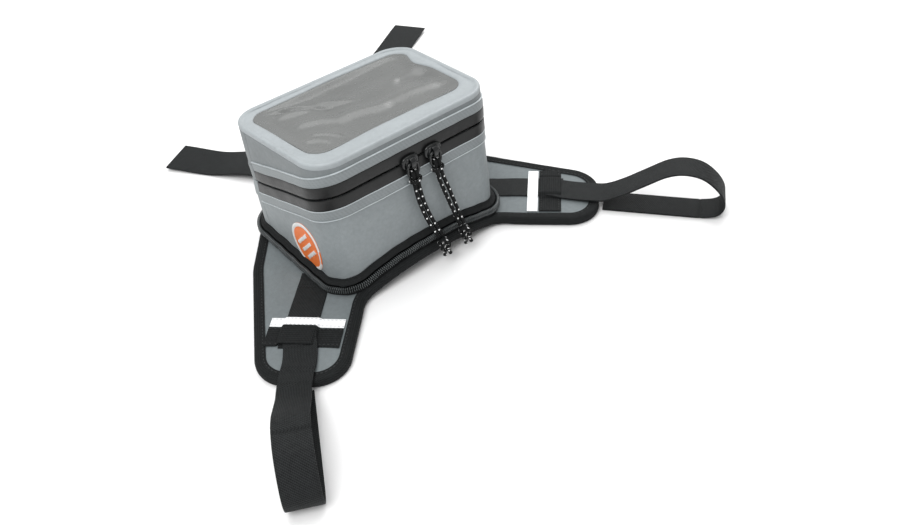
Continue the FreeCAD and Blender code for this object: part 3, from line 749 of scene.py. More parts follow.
# ---- shape of the harness ------------------------------------------------------------
ARCH_RISE, ARCH_INFLECT, ARCH_END = 0.010, 0.062, 0.090
CONVEX_R = ARCH_INFLECT * ARCH_END / (2 * ARCH_RISE)
CONCAVE_R = CONVEX_R * (ARCH_END - ARCH_INFLECT) / ARCH_INFLECT
ARCH_TOP = ARCH_RISE - CONVEX_R + math.sqrt(CONVEX_R ** 2 - ARCH_INFLECT ** 2)
ARCH_FOOT = ARCH_TOP - CONCAVE_R + math.sqrt(CONCAVE_R ** 2 - (ARCH_END - ARCH_INFLECT) ** 2)
WING_B = 0.0375


def arch(x):
    """Rise of the saddle above the flat wings."""
    x = abs(x)
    if x < ARCH_INFLECT:
        return ARCH_RISE - CONVEX_R + math.sqrt(CONVEX_R ** 2 - x * x) - ARCH_FOOT
    if x < ARCH_END:
        return CONCAVE_R - math.sqrt(CONCAVE_R ** 2 - (ARCH_END - x) ** 2)
    return 0.0


def diagonal(s, b):
    """Plan point of the right wing: s along its 45 degree axis, b across it."""
    return Vector(((s + b) / RT2, (b - s) / RT2, 0))


def flip(points, side):
    """Leave right-hand points, or mirror them for the left."""
    return [Vector((p.x if side == "right" else -p.x, p.y, p.z)) for p in points]


def offset_corners(corners, inset):
    """Move a closed anticlockwise outline inwards; a corner is (x, y, radius)."""
    out = []
    count = len(corners)
    for i in range(count):
        here = Vector(corners[i][:2])
        one = (here - Vector(corners[i - 1][:2])).normalized()
        two = (Vector(corners[(i + 1) % count][:2]) - here).normalized()
        turn = one.x * two.y - one.y * two.x
        move = Vector((-one.y - two.y, one.x + two.x)) * (inset / (1 + one.dot(two)))
        radius = corners[i][2] + (-inset if turn > 0 else inset)
        out.append((here.x + move.x, here.y + move.y, max(radius, 0.0005)))
    return out


def corner_arc(before, corner, after):
    """Start, centre, end of a corner's arc."""
    here = Vector(corner[:2])
    one = (Vector(before[:2]) - here).normalized()
    two = (Vector(after[:2]) - here).normalized()
    half = one.angle(two) / 2
    reach = corner[2] / math.tan(half)
    centre = here + (one + two).normalized() * (corner[2] / math.sin(half))
    return here + one * reach, centre, here + two * reach


def arc_point(arc, f):
    """Point at a share of the way round an arc."""
    start, centre, end = arc
    a, b = start - centre, end - centre
    angle = a.angle_signed(b) if a.length > 0 else 0.0
    spin = -angle * f
    c, d = math.cos(spin), math.sin(spin)
    return centre + Vector((a.x * c - a.y * d, a.x * d + a.y * c))


def harness_corners():
    """Outline of the right half of the harness, from the front edge to the tail."""
    tip_front, tip_back = diagonal(0.1895, -0.006), diagonal(0.1895, 0.060)
    return [(0.077 - RT2 * 0.006, -0.077, 0.020), (tip_front.x, tip_front.y, 0.026),
            (tip_back.x, tip_back.y, 0.028), (0.117, 0.015, 0.070), (0.071, 0.075, 0.040),
            (0.032, 0.141, 0.016)]


@functools.lru_cache(maxsize=None)
def half_outline(inset):
    """Right half of the outline at an inset, always with the same number of points."""
    half = harness_corners()
    whole = half + [(-x, y, r) for x, y, r in reversed(half)]
    moved = offset_corners(whole, inset)
    base = offset_corners(whole, 0.0)

    def arcs(corners):
        return [corner_arc(corners[i - 1], corners[i], corners[(i + 1) % len(corners)]) for i in range(6)]
    true, here = arcs(base), arcs(moved)
    points = []
    last_true, last = Vector((0, base[0][1])), Vector((0, moved[0][1]))
    for i in range(6):
        steps = max(2, round((true[i][0] - last_true).length / 0.0035))
        points += [last.lerp(here[i][0], k / steps) for k in range(steps)]
        start, centre, stop = true[i]
        bends = max(8, round(abs((start - centre).angle(stop - centre)) * base[i][2] / 0.0025))
        points += [arc_point(here[i], k / bends) for k in range(bends)]
        last_true, last = true[i][2], here[i][2]
    end = Vector((0, moved[5][1]))
    steps = 8
    points += [last.lerp(end, k / steps) for k in range(steps + 1)]
    return tuple(Vector((p.x, p.y, 0)) for p in points)


def rim_line(inset, height, side):
    """Line on the panel at an inset from its edge and a height over the wings' plane."""
    points = [Vector((p.x, p.y, height + arch(p.x))) for p in half_outline(inset)]
    return flip(points, side)


def panel_top(depth):
    """Height of the padded top at a distance from the edge."""
    return sizes().panel - 0.0002 + 0.0009 * smooth_step((depth - 0.0088) / 0.010)


def half_pad(side):
    """Padded panel: closed, crowned within its binding and arched over the tank."""
    edge = half_outline(0.0010)
    count = len(edge)
    verts = [Vector((p.x, p.y)) for p in edge]
    tree = kdtree.KDTree(count)
    for i, p in enumerate(edge):
        tree.insert(p, i)
    tree.balance()
    for inset in (0.0035, 0.0062, 0.0088, 0.0104, 0.0126, 0.0155, 0.0190):
        for p in half_outline(inset)[1:-1:1 if inset < 0.012 else 2]:
            if p.x > 0.0015:
                verts.append(Vector((p.x, p.y)))
    step = 0.0042
    for i in range(1, 60):
        for j in range(-40, 50):
            p = Vector((i * step - 0.0008, j * step + (0.0021 if i % 2 else 0.0), 0))
            if inside(p, edge) and tree.find(p)[2] > 0.0215:
                verts.append(Vector((p.x, p.y)))
    seam = [Vector((0.0, edge[0].y + (edge[-1].y - edge[0].y) * k / 50)) for k in range(1, 50)]
    ring = list(range(count)) + list(range(len(verts) + len(seam) - 1, len(verts) - 1, -1))
    verts += seam
    made = geometry.delaunay_2d_cdt(verts, [], [ring], 1, 1e-7)
    flat, faces = made[0], [list(f) for f in made[2]]
    top, low = [], []
    for p in flat:
        depth = tree.find(Vector((p.x, p.y, 0)))[2] + 0.001
        ripple = 0.00035 * noise.noise(Vector((p.x * 34, p.y * 34,
                                               3.1))) * smooth_step((depth - 0.009) / 0.012)
        ripple += 0.00022 * noise.noise(Vector((p.x * 90, p.y * 90,
                                                8.7))) * smooth_step((depth - 0.009) / 0.006)
        lift = arch(p.x)
        top.append(Vector((p.x, p.y, lift + panel_top(depth) + ripple)))
        low.append(Vector((p.x, p.y, lift + 0.0004)))
    sides = {}
    for face in faces:
        for a, b in zip(face, face[1:] + face[:1]):
            sides[(a, b)] = True
    n = len(flat)
    skin = [tuple(f) for f in faces]
    under = [tuple(n + i for i in reversed(f)) for f in faces]
    walls = [(b, a, n + a, n + b) for a, b in sides if (b, a) not in sides]
    points = flip(top + low, side)
    picks = [0] * len(skin) + [1] * len(under) + [1] * len(walls)
    return piece(side + "_panel", points, skin + under + walls, [panel_cloth(), grip_rubber()], None, 35,
                 picks)


def inside(p, ring):
    """Whether a plan point lies in the half outline (closed along x = 0)."""
    hit = False
    count = len(ring)
    for i in range(count):
        a, b = ring[i], ring[(i + 1) % count]
        if (a.y > p.y) != (b.y > p.y) and p.x < (b.x - a.x) * (p.y - a.y) / (b.y - a.y) + a.x:
            hit = not hit
    return hit


def half_binding(side):
    """Folded tape round the panel's edge."""
    lap, top = sizes().lap + 0.0008, sizes().panel
    profile = [(lap, top + 0.00005), (lap + 0.0001, top + 0.0006), (lap - 0.0008, top + 0.00085),
               (lap - 0.0018, top + 0.00055), (lap - 0.0030, top + 0.0009), (0.0030, top + 0.0010),
               (0.0014, top + 0.0006), (0.0004, top - 0.0005), (0.0, top - 0.0018), (0.0, 0.0022),
               (0.0004, 0.0008), (0.0014, 0.0002), (lap, 0.0001), (lap, 0.0008), (0.0016, 0.0009),
               (0.0009, 0.0016), (0.0009, top - 0.0012), (0.0018, top - 0.0001)]
    lines = [rim_line(round(inset, 6), height, side) for inset, height in profile]
    rows = []
    for i in range(len(lines[0])):
        row = [line[i] for line in lines]
        where = row[8]
        lift = 0.00022 * noise.noise(where * 70)
        rows.append([p + Vector((0, 0, lift if k < 8 else 0)) for k, p in enumerate(row)])
    return sweep(rows, False, binding_tape(), side + "_binding", uvs=True, smooth=60)


# ---- shape of the pod ----------------------------------------------------------------
POD_Z, POD_TOP, TOP_SLOPE, ZIP_Z, ZIP_SLOPE = 0.016, 0.1184, -0.0704, 0.0782, -0.30
FRONT, RIGHT, BACK, LEFT = 7, 1, 3, 5
STOP = 0.965


@functools.lru_cache(maxsize=4096)
def pod_arcs(z, out):
    """Corner arcs of the pod's outline at a height."""
    t = (z - POD_Z) / 0.100

    def at(low, high):
        return low + (high - low) * t
    radius = at(0.022, 0.023)
    front, back = at(-0.067, -0.0625), at(0.063, 0.0625)
    half_front, half_back = at(0.083, 0.0813), at(0.083, 0.0858)
    corners = [(half_front, front, radius), (half_back, back, radius),
               (-half_back, back, radius), (-half_front, front, radius)]
    moved = offset_corners(corners, -out)
    return tuple(corner_arc(moved[i - 1], moved[i], moved[(i + 1) % 4]) for i in range(4))


def pod_plan(column, z, out):
    """Plan point of the pod: column is (part, share); parts run arc, right, arc, back, ..."""
    part, f = column
    arcs = pod_arcs(round(z, 6), round(out, 6))
    if part % 2 == 0:
        return arc_point(arcs[part // 2], f)
    return arcs[part // 2][2].lerp(arcs[(part // 2 + 1) % 4][0], f)


STEPS_ROUND = (14, 28, 14, 44, 14, 28, 14, 46)
ALL_ROUND = [(part, k / steps) for part, steps in enumerate(STEPS_ROUND) for k in range(steps)]


def front_columns():
    """Columns of the zip: left end, front and right end."""
    out = [(LEFT, 1 - STOP + STOP * k / 27) for k in range(27)]
    out += [(6, k / 14) for k in range(14)] + [(FRONT, k / 46) for k in range(46)]
    out += [(0, k / 14) for k in range(14)] + [(RIGHT, STOP * k / 27) for k in range(28)]
    return out


def back_columns():
    """Columns of the lid's fold, round the back."""
    out = [(RIGHT, STOP + 0.004), (RIGHT, 0.985)] + [(2, k / 14) for k in range(14)]
    out += [(BACK, k / 44) for k in range(44)] + [(4, k / 14) for k in range(14)]
    return out + [(LEFT, 0.0), (LEFT, 0.015), (LEFT, 1 - STOP - 0.004)]


def tilted(height, slope):
    """Level that falls from front to back."""
    return lambda p: height + slope * p.y


def zip_level(rise):
    """Level parallel to the zip, a height over its middle."""
    return tilted(ZIP_Z + rise, ZIP_SLOPE)


def top_level(rise):
    """Level parallel to the lid's top."""
    return tilted(POD_TOP + rise, TOP_SLOPE)


def foot_level(rise):
    """Level parallel to the saddle's arch, a height over the pod's bottom edge."""
    return lambda p: POD_Z + rise + arch(p.x)


def between(one, two, f):
    """Level part of the way between two."""
    return lambda p: one(p) + (two(p) - one(p)) * f


def wander(p):
    """How far the soft wall stands out or in at a point."""
    sag = sizes().sag
    broad = noise.noise(Vector((p.x * 21, p.y * 21, p.z * 30 + 4.0)))
    fine = noise.noise(Vector((p.x * 75, p.y * 75, p.z * 40 + 9.0)))
    foot = smooth_step((0.050 - p.z) / 0.034)
    tuck = math.sin((p.x - p.y) * 330 + 3 * broad) * foot
    waist = math.sin(math.pi * max(0.0, min(1.0, (p.z - 0.016) / 0.05)))
    return sag * (0.62 * broad + 0.20 * fine + 0.14 * tuck + 0.35 * waist)


def pod_point(column, level, out):
    """Point of the pod's skin on a level, standing out by a distance."""
    z = 0.06
    for _ in range(5):
        z = level(pod_plan(column, z, 0.0))
    at = pod_plan(column, z, out)
    p = Vector((at.x, at.y, z))
    base = pod_plan(column, z, 0.0)
    edge = smooth_step((POD_TOP + TOP_SLOPE * base.y - 0.002 - z) / 0.012)
    push = wander(Vector((base.x, base.y, z))) * edge
    within = base if out > 0 and (at - base).length > 1e-9 else pod_plan(column, z, -0.002)
    outward = Vector((at.x - within.x, at.y - within.y, 0))
    return p + outward.normalized() * push


def pod_band(name, columns, profile, ring, material, smooth=40.0):
    """Band round the pod; profile is a closed list of (level, stand-out)."""
    rows = [[pod_point(column, level, out) for level, out in profile] for column in columns]
    return sweep(rows, ring, material, name, uvs=True, smooth=smooth)


def taped(low, high, out, thick):
    """Closed soft-edged section between two levels."""
    body = [between(low, high, f) for f in (0.0, 0.03, 0.10, 0.35, 0.65, 0.90, 0.97, 1.0)]
    outs = (0.15, 0.75, 1.0, 1.0, 1.0, 1.0, 0.75, 0.15)
    front = [(level, out + thick * k) for level, k in zip(body, outs)]
    return front + [(high, out - 0.0001), (low, out - 0.0001)]


def walled(low, high, thick, rows=16):
    """Closed section of a soft wall, with many rows outside so that it can sag."""
    outer = [(between(low, high, k / rows), 0.0) for k in range(rows + 1)]
    inner = [(between(high, low, k / 4), -thick) for k in range(5)]
    return outer + inner


def window_plan(column, z):
    """Plan point of the window's opening, for the same column as the pod's outline."""
    t = (z - POD_Z) / 0.100
    half_front, half_back = 0.083 - 0.0017 * t, 0.083 + 0.0028 * t
    front, back = -0.067 + 0.0045 * t + sizes().frame_front, 0.063 - 0.0005 * t - sizes().frame_back
    right, left, radius = sizes().frame_right, sizes().frame_left, 0.014
    corners = [(half_front - right, front, radius), (half_back - right, back, radius),
               (left - half_back, back, radius), (left - half_front, front, radius)]
    arcs = [corner_arc(corners[i - 1], corners[i], corners[(i + 1) % 4]) for i in range(4)]
    part, f = column
    if part % 2 == 0:
        p = arc_point(arcs[part // 2], f)
    else:
        p = arcs[part // 2][2].lerp(arcs[(part // 2 + 1) % 4][0], f)
    bulge = 0.0050 * math.exp(-((p.y - 0.024) / 0.013) ** 2) if p.x > 0.04 else 0.0
    return Vector((p.x - bulge, p.y + 0.0006 * math.sin(p.x * 60 + 1)))


def lid_point(column, share, inset, rise):
    """Point on the lid's top: share runs from the outer edge to the window, plus a small inset."""
    z = POD_TOP
    for _ in range(4):
        z = POD_TOP + rise + TOP_SLOPE * pod_plan(column, z, 0.0).y
    outer = pod_plan(column, z, -inset)
    if share <= 0:
        return Vector((outer.x, outer.y, z))
    edge = pod_plan(column, z, 0.0)
    p = edge.lerp(window_plan(column, z), share)
    return Vector((p.x, p.y, POD_TOP + rise + TOP_SLOPE * p.y))


# ---- operators -----------------------------------------------------------------------
def need(value, text):
    """Stop with a message when a step can't finish."""
    if not value:
        raise RuntimeError(text)
    return value


def attach(obj, slot, body, *nodes):
    """Body and replaced nodes of a piece that moves with one body; slot is not used."""
    if nodes:
        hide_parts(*nodes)
    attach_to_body(obj, body)


def bend(obj, slot, side, *nodes):
    """Replaced nodes of a piece on a wing, with its placing baked into its mesh; slot and side are not used.
    """
    if nodes:
        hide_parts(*nodes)
    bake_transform(obj)


class BAG_OT_studio(bpy.types.Operator):
    """Camera, pale floor and soft lights"""
    bl_idname = "bag.studio"
    bl_label = "Studio"

    def execute(self, context):
        azimuth, elevation, roll = math.radians(36.1), math.radians(41.6), math.radians(5.3)
        ahead = Vector((math.sin(azimuth) * math.cos(elevation), math.cos(azimuth) * math.cos(elevation),
                        -math.sin(elevation)))
        right = ahead.cross(Vector((0, 0, 1))).normalized()
        up = right.cross(ahead)
        turn = Matrix.Rotation(roll, 3, ahead)
        right, up = turn @ right, turn @ up
        data = bpy.data.cameras.new("Camera")
        data.lens = 34.0
        data.sensor_width = 36.0
        data.clip_start = 0.01
        camera = bpy.data.objects.new("Camera", data)
        context.scene.collection.objects.link(camera)
        facing = Matrix((right, up, -ahead)).transposed().to_4x4()
        camera.matrix_world = Matrix.Translation((-0.2965, -0.5048, 0.4607)) @ facing
        context.scene.camera = camera
        context.scene.view_settings.view_transform = "Standard"

        material, tree, shader = blank("Pale floor", 0.55, specular=0.25)
        where = tree.nodes.new("ShaderNodeTexCoord").outputs["Object"]
        tint(tree, shader, noise_value(tree, where, 3.0), (0.83, 0.83, 0.83), (0.87, 0.87, 0.87))
        mesh = bpy.data.meshes.new("Floor")
        r = 6.0
        mesh.from_pydata([(-r, -r, 0), (r, -r, 0), (r, r, 0), (-r, r, 0)], [], [(0, 1, 2, 3)])
        mesh.materials.append(material)
        floor = bpy.data.objects.new("Floor", mesh)
        floor.location.z = -0.0004
        context.scene.collection.objects.link(floor)

        world = bpy.data.worlds.new("Studio")
        world.use_nodes = True
        world.node_tree.nodes["Background"].inputs[0].default_value = (1, 1, 1, 1)
        world.node_tree.nodes["Background"].inputs[1].default_value = 0.62
        context.scene.world = world
        for name, place, aim, size, power in (
                ("Key", (-0.9, -0.5, 1.5), (0, 0, 0.05), 1.1, 20.0),
                ("Top", (0.2, 0.5, 1.7), (0, 0.05, 0.05), 1.6, 17.0),
                ("Rim", (1.2, 0.6, 0.8), (0, 0, 0.06), 0.9, 9.0)):
            light = bpy.data.lights.new(name, "AREA")
            light.shape = "SQUARE"
            light.size = size
            light.energy = power
            lamp = bpy.data.objects.new(name, light)
            lamp.location = place
            lamp.rotation_euler = (Vector(aim) - Vector(place)).to_track_quat("-Z", "Y").to_euler()
            context.scene.collection.objects.link(lamp)
        return {"FINISHED"}


def nurbs_points(route, name):
    """Points of the smooth spline whose control points are the route's."""
    curve = bpy.data.curves.new(name, "CURVE")
    curve.dimensions = "3D"
    curve.resolution_u = 14
    spline = curve.splines.new("NURBS")
    spline.points.add(len(route) - 1)
    for point, at in zip(spline.points, route):
        point.co = (*at, 1.0)
    spline.order_u = 3
    spline.use_endpoint_u = True
    obj = bpy.data.objects.new(name + "_line", curve)
    bpy.context.scene.collection.objects.link(obj)
    bpy.context.view_layer.update()
    mesh = bpy.data.meshes.new_from_object(obj.evaluated_get(bpy.context.evaluated_depsgraph_get()))
    points = [v.co.copy() for v in mesh.vertices]
    bpy.data.objects.remove(obj)
    bpy.data.curves.remove(curve)
    return need(points, "no line for " + name)


class BAG_OT_cords(bpy.types.Operator):
    """Pull cords with their knots"""
    bl_idname = "bag.cords"
    bl_label = "Pull cords"

    def execute(self, context):
        radius = sizes().cord / 2
        for side in SIDES:
            low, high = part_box(side + "_cord_knot")
            centre = (low + high) / 2
            path = []
            for k in range(72):
                a = 2 * math.pi * k / 72
                swell = 0.0030 + 0.0014 * math.cos(3 * a)
                p = Vector((swell * math.cos(2 * a), 0.0026 * math.sin(3 * a), swell * math.sin(2 * a) * 1.1))
                path.append(centre + p)
            path.append(path[0].copy())
            knot = tube(side + "_knot", path, radius * 0.92, cord_braid(), 12, ends=False)
            tails = []
            for k, lean in enumerate((-0.0016, 0.0020)):
                run = eased([centre + Vector((lean * 0.6, -0.001, -0.003)),
                             centre + Vector((lean, -0.0022, -0.0060)),
                             centre + Vector((lean * 1.7, -0.0030, -0.0088 - 0.0010 * k))], 6)
                tails.append(tube(side + "_tail_%d" % k, run, radius * 0.92, cord_braid(), 12))
            whole = join_keeping_uv(side + "_pull_knot", [knot] + tails)
            attach(whole, "cord", side + "_pull", side + "_cord_knot")
            hitch = cord_hitch(side, radius)
            attach(hitch, "cord", side + "_pull")
            for strand in ("inner", "outer"):
                name = side + "_cord_" + strand
                line = nurbs_points(CORD_ROUTES[name], name)
                cord = tube(name + "_braid", line, radius, cord_braid(), 14)
                run = sum((b - a).length for a, b in zip(line, line[1:]))
                attach(cord, "cord", side + "_pull", name)
        return {"FINISHED"}


def cord_hitch(side, radius):
    """Top of a pull cord: two turns over the wire loop, gathered by a wrap."""
    low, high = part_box(side + "_pull")
    bar = Vector(((low.x + high.x) / 2, (low.y + high.y) / 2, low.z + 0.0011))
    made = []
    for strand in ("inner", "outer"):
        top = Vector(CORD_ROUTES[side + "_cord_" + strand][0])
        x = top.x
        turn = eased([top - Vector((0, 0, 0.002)), top + Vector((0, -0.0004, 0.0016)),
                      Vector((x, bar.y - 0.0014, bar.z + 0.0026)),
                      Vector((x, bar.y + 0.0006, bar.z + 0.0029)),
                      Vector((x, bar.y + 0.0022, bar.z + 0.0008)),
                      Vector((x, bar.y + 0.0016, bar.z - 0.0016))], 6)
        made.append(tube(side + "_turn_" + strand, turn, radius, cord_braid(), 12))
    wrap = []
    for k in range(29):
        a = 2 * math.pi * k / 28
        wrap.append(Vector((bar.x + 0.0044 * math.cos(a), bar.y - 0.0017 + 0.0027 * math.sin(a),
                            bar.z - 0.0030 + 0.0007 * math.sin(a + 1))))
    made.append(tube(side + "_wrap", wrap, radius * 0.85, cord_braid(), 12, ends=False))
    return join_keeping_uv(side + "_cord_hitch", made)


def join_keeping_uv(name, objs):
    """Several tubes as one object, with their UV maps."""
    verts, faces, uvs = [], [], []
    for obj in objs:
        start = len(verts)
        mesh = obj.data
        verts += [v.co.copy() for v in mesh.vertices]
        marks = [None] * len(mesh.vertices)
        for loop in mesh.loops:
            marks[loop.vertex_index] = tuple(mesh.uv_layers[0].data[loop.index].uv)
        uvs += marks
        faces += [tuple(start + i for i in face.vertices) for face in mesh.polygons]
    materials = list(objs[0].data.materials)
    for obj in objs:
        bpy.data.objects.remove(obj)
    return piece(name, verts, faces, materials, uvs, 60)


class BAG_OT_panels(bpy.types.Operator):
    """Padded harness, in two halves, left and right"""
    bl_idname = "bag.panels"
    bl_label = "Harness panels"

    def execute(self, context):
        for side in SIDES:
            pad = half_pad(side)
            for part in ("saddle_", side + "_wing_"):
                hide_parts(part + "core", part + "skin", part + "underside")
            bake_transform(pad)
            tape = half_binding(side)
            bend(tape, "binding", side, "saddle_binding", side + "_wing_binding")
            inset = round(sizes().lap - 0.0010, 6)
            seam = beads(side + "_binding_stitches", [rim_line(inset, sizes().panel + 0.00062, side)],
                         sizes().stitch, 0.0007, 0.0005, sizes().stitch * 0.72, thread())
            bend(seam, "binding", side)
        return {"FINISHED"}


def wing_line(s, b0, b1, lift, hump, side, steps=60):
    """Line across a wing that steps over the webbing."""
    points = []
    half = sizes().webbing / 2
    for k in range(steps + 1):
        b = b0 + (b1 - b0) * k / steps
        over = smooth_step((half + 0.0024 - abs(b - WING_B)) / 0.0030)
        p = diagonal(s, b)
        points.append(Vector((p.x, p.y, sizes().panel + 0.0006 + lift + hump * over + arch(p.x))))
    return flip(points, side)


class BAG_OT_wing_trim(bpy.types.Operator):
    """Webbing, reflective strip and elastic keeper on each wing"""
    bl_idname = "bag.wing_trim"
    bl_label = "Wing trim"

    def execute(self, context):
        web = 0.0014
        for side in SIDES:
            path = []
            for k in range(46):
                s = 0.0780 + (0.1590 - 0.0780) * k / 45
                p = diagonal(s, WING_B)
                rise = 0.0008 + 0.0005 * smooth_step((s - 0.088) / 0.010) * (1 + 0.4 * math.sin(k * 0.35))
                path.append(Vector((p.x, p.y, sizes().panel + rise + arch(p.x))))
            path = flip(path, side)
            across = flip([Vector((1, 1, 0)) / RT2] * len(path), side)
            strap = ribbon(side + "_webbing", path, across, sizes().webbing, web, strap_cloth())
            bend(strap, "webbing", side, side + "_wing_webbing")

            for kind, s, width, thick, hump, cloth, slot_name in (
                    ("reflective_strip", 0.1325, 0.0090, 0.0005, web, strip_cloth(), "reflective"),
                    ("strap_keeper", 0.1475, 0.0190, 0.0011, web + 0.0019, elastic_cloth(), "elastic")):
                line = wing_line(s, 0.0045, 0.0620, thick / 2, hump, side)
                along = flip([Vector((1, -1, 0)) / RT2] * len(line), side)
                band = ribbon(side + "_" + kind + "_band", line, along, width, thick, cloth)
                bend(band, slot_name, side, side + "_" + kind)
            lines = [wing_line(s, 0.0055, 0.0610, 0.0008, web, side, 24) for s in (0.1295, 0.1355)]
            light = beads(side + "_strip_stitches", lines, 0.0030, 0.0006, 0.0005, 0.0021, thread(True))
            bend(light, "reflective", side)
            lines = []
            for s in (0.1400, 0.1550):
                lines.append(wing_line(s, 0.0060, 0.0225, 0.0014, 0.0, side, 10))
                lines.append(wing_line(s, 0.0525, 0.0605, 0.0014, 0.0, side, 10))
            dark = beads(side + "_keeper_stitches", lines, 0.0028, 0.0007, 0.0005, 0.0020, thread())
            bend(dark, "elastic", side)
        return {"FINISHED"}


class BAG_OT_strap_loops(bpy.types.Operator):
    """Webbing loop that runs out of each keeper and back under the wing tip"""
    bl_idname = "bag.strap_loops"
    bl_label = "Strap loops"

    def execute(self, context):
        for side in SIDES:
            toe = math.radians({"left": 17.0, "right": 7.5}[side])
            b0 = {"left": 0.0290, "right": 0.0280}[side]
            near = 0.1895 + 0.0012 + 0.0127 * math.sin(toe)
            keys = [(0.1400, 0.0372, 0.0097, 0.0), (0.1500, 0.0352, 0.0098, 0.1),
                    (0.1600, 0.0325, 0.0093, 0.2),
                    (0.1720, 0.0303, 0.0092, 0.5), (0.1830, b0 + 0.0006, 0.0096, 0.8)]
            for a, z in ((0.003, 0.0104), (0.018, 0.0178), (0.036, 0.0295), (0.052, 0.0395), (0.066, 0.0428),
                         (0.081, 0.0395), (0.094, 0.0285), (0.1005, 0.0160), (0.0975, 0.0055),
                         (0.086, 0.0014),
                         (0.066, 0.0009), (0.040, 0.0010), (0.016, 0.0010), (0.0015, 0.0011)):
                keys.append((near + a * math.cos(toe), b0 - a * math.sin(toe), z, 1.0))
            path, across = [], []
            for k in eased([Vector((s, b, z)) for s, b, z, _ in keys], 7):
                p = diagonal(k.x, k.y)
                path.append(Vector((p.x, p.y, k.z)))
            turns = eased([Vector((t, 0, 0)) for _, _, _, t in keys], 7)
            for t in turns:
                lean = toe * max(0.0, min(1.0, t.x))
                p = diagonal(math.sin(lean), math.cos(lean))
                across.append(p.normalized())
            path, across = flip(path, side), flip(across, side)
            strap = ribbon(side + "_loop_strap", path, across, sizes().webbing, 0.0015, strap_cloth())
            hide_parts(side + "_strap_loop")
            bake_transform(strap)
        return {"FINISHED"}


class BAG_OT_back_straps(bpy.types.Operator):
    """Wide straps sewn under the tail's corners"""
    bl_idname = "bag.back_straps"
    bl_label = "Back straps"

    def execute(self, context):
        for side, x, y, angle, reach in (("left", -0.0360, 0.1430, 124.0, 0.092),
                                         ("right", 0.0340, 0.1435, 31.0, 0.240)):
            way = Vector((math.cos(math.radians(angle)), math.sin(math.radians(angle)), 0))
            over = Vector((-way.y, way.x, 0))
            height = arch(x) - 0.0011
            path = []
            steps = 60
            for k in range(steps + 1):
                d = -0.033 + (reach + 0.033) * k / steps
                at = Vector((x, y, 0)) + way * d
                fall = smooth_step((d - 0.004) / 0.050)
                rest = arch(at.x) - 0.0011 if d < 0 else height
                wave = 0.0012 * smooth_step((d - 0.03) / 0.05) * (1 + math.sin(d * 46 + x * 90))
                at.z = rest * (1 - fall) + 0.0010 * fall + wave
                path.append(at)
            strap = ribbon(side + "_tail_strap", path, [over] * len(path), sizes().back_strap, 0.0018,
                           strap_cloth())
            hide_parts(side + "_strap_root", side + "_back_strap")
            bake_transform(strap)
        return {"FINISHED"}


class BAG_OT_pod_wall(bpy.types.Operator):
    """Soft wall of the pod, its floor and its half of the fold"""
    bl_idname = "bag.pod_wall"
    bl_label = "Pod wall"

    def execute(self, context):
        half = sizes().zip_band / 2
        lower = pod_band("pod_skin", front_columns(),
                         walled(foot_level(0.0), zip_level(0.006 - half), sizes().wall),
                         False, body_cloth())
        back = pod_band("pod_back_skin", back_columns(),
                        walled(foot_level(0.0), zip_level(-0.0003), sizes().wall),
                        False, body_cloth())
        fold = pod_band("fold_tape_lower", back_columns(),
                        taped(zip_level(-0.016), zip_level(-0.0003), 0.0, sizes().tape), False, body_cloth())
        for obj, node in ((lower, "pod_wall"), (back, "pod_wall"), (fold, "hinge_tape_lower")):
            attach(obj, "pod_wall", "pod", node)
        inset = sizes().wall + 0.0002
        rows = []
        for share in (1.0, 0.985, 0.96, 0.8, 0.6, 0.4, 0.2, 0.05):
            ring = []
            for column in ALL_ROUND:
                edge = pod_plan(column, 0.021, -inset)
                x, y = edge.x * share, edge.y * share
                wave = 0.0004 * noise.noise(Vector((x * 40, y * 40, 2.0))) if share < 0.97 else 0.0
                ring.append(Vector((x, y, POD_Z + 0.0038 + arch(x) + wave)))
            rows.append(ring)
        base = [Vector((p.x, p.y, POD_Z + 0.0026 + arch(p.x))) for p in rows[0]]
        verts = base + [p for row in rows for p in row] + [Vector((0, 0, POD_Z + 0.0038 + arch(0)))]
        n = len(base)
        faces = [tuple(range(n))]
        faces += nest(0, len(rows) + 1, n)
        floor = piece("pod_floor_lining", verts, faces, [lining_cloth()])
        attach(floor, "liner", "pod", "pod_liner")
        return {"FINISHED"}


def lining_cloth():
    """Thin grey lining."""
    return coated("Lining", (0.20, 0.20, 0.21), 0.7, grain=1100, blotch=50, spread=0.2)


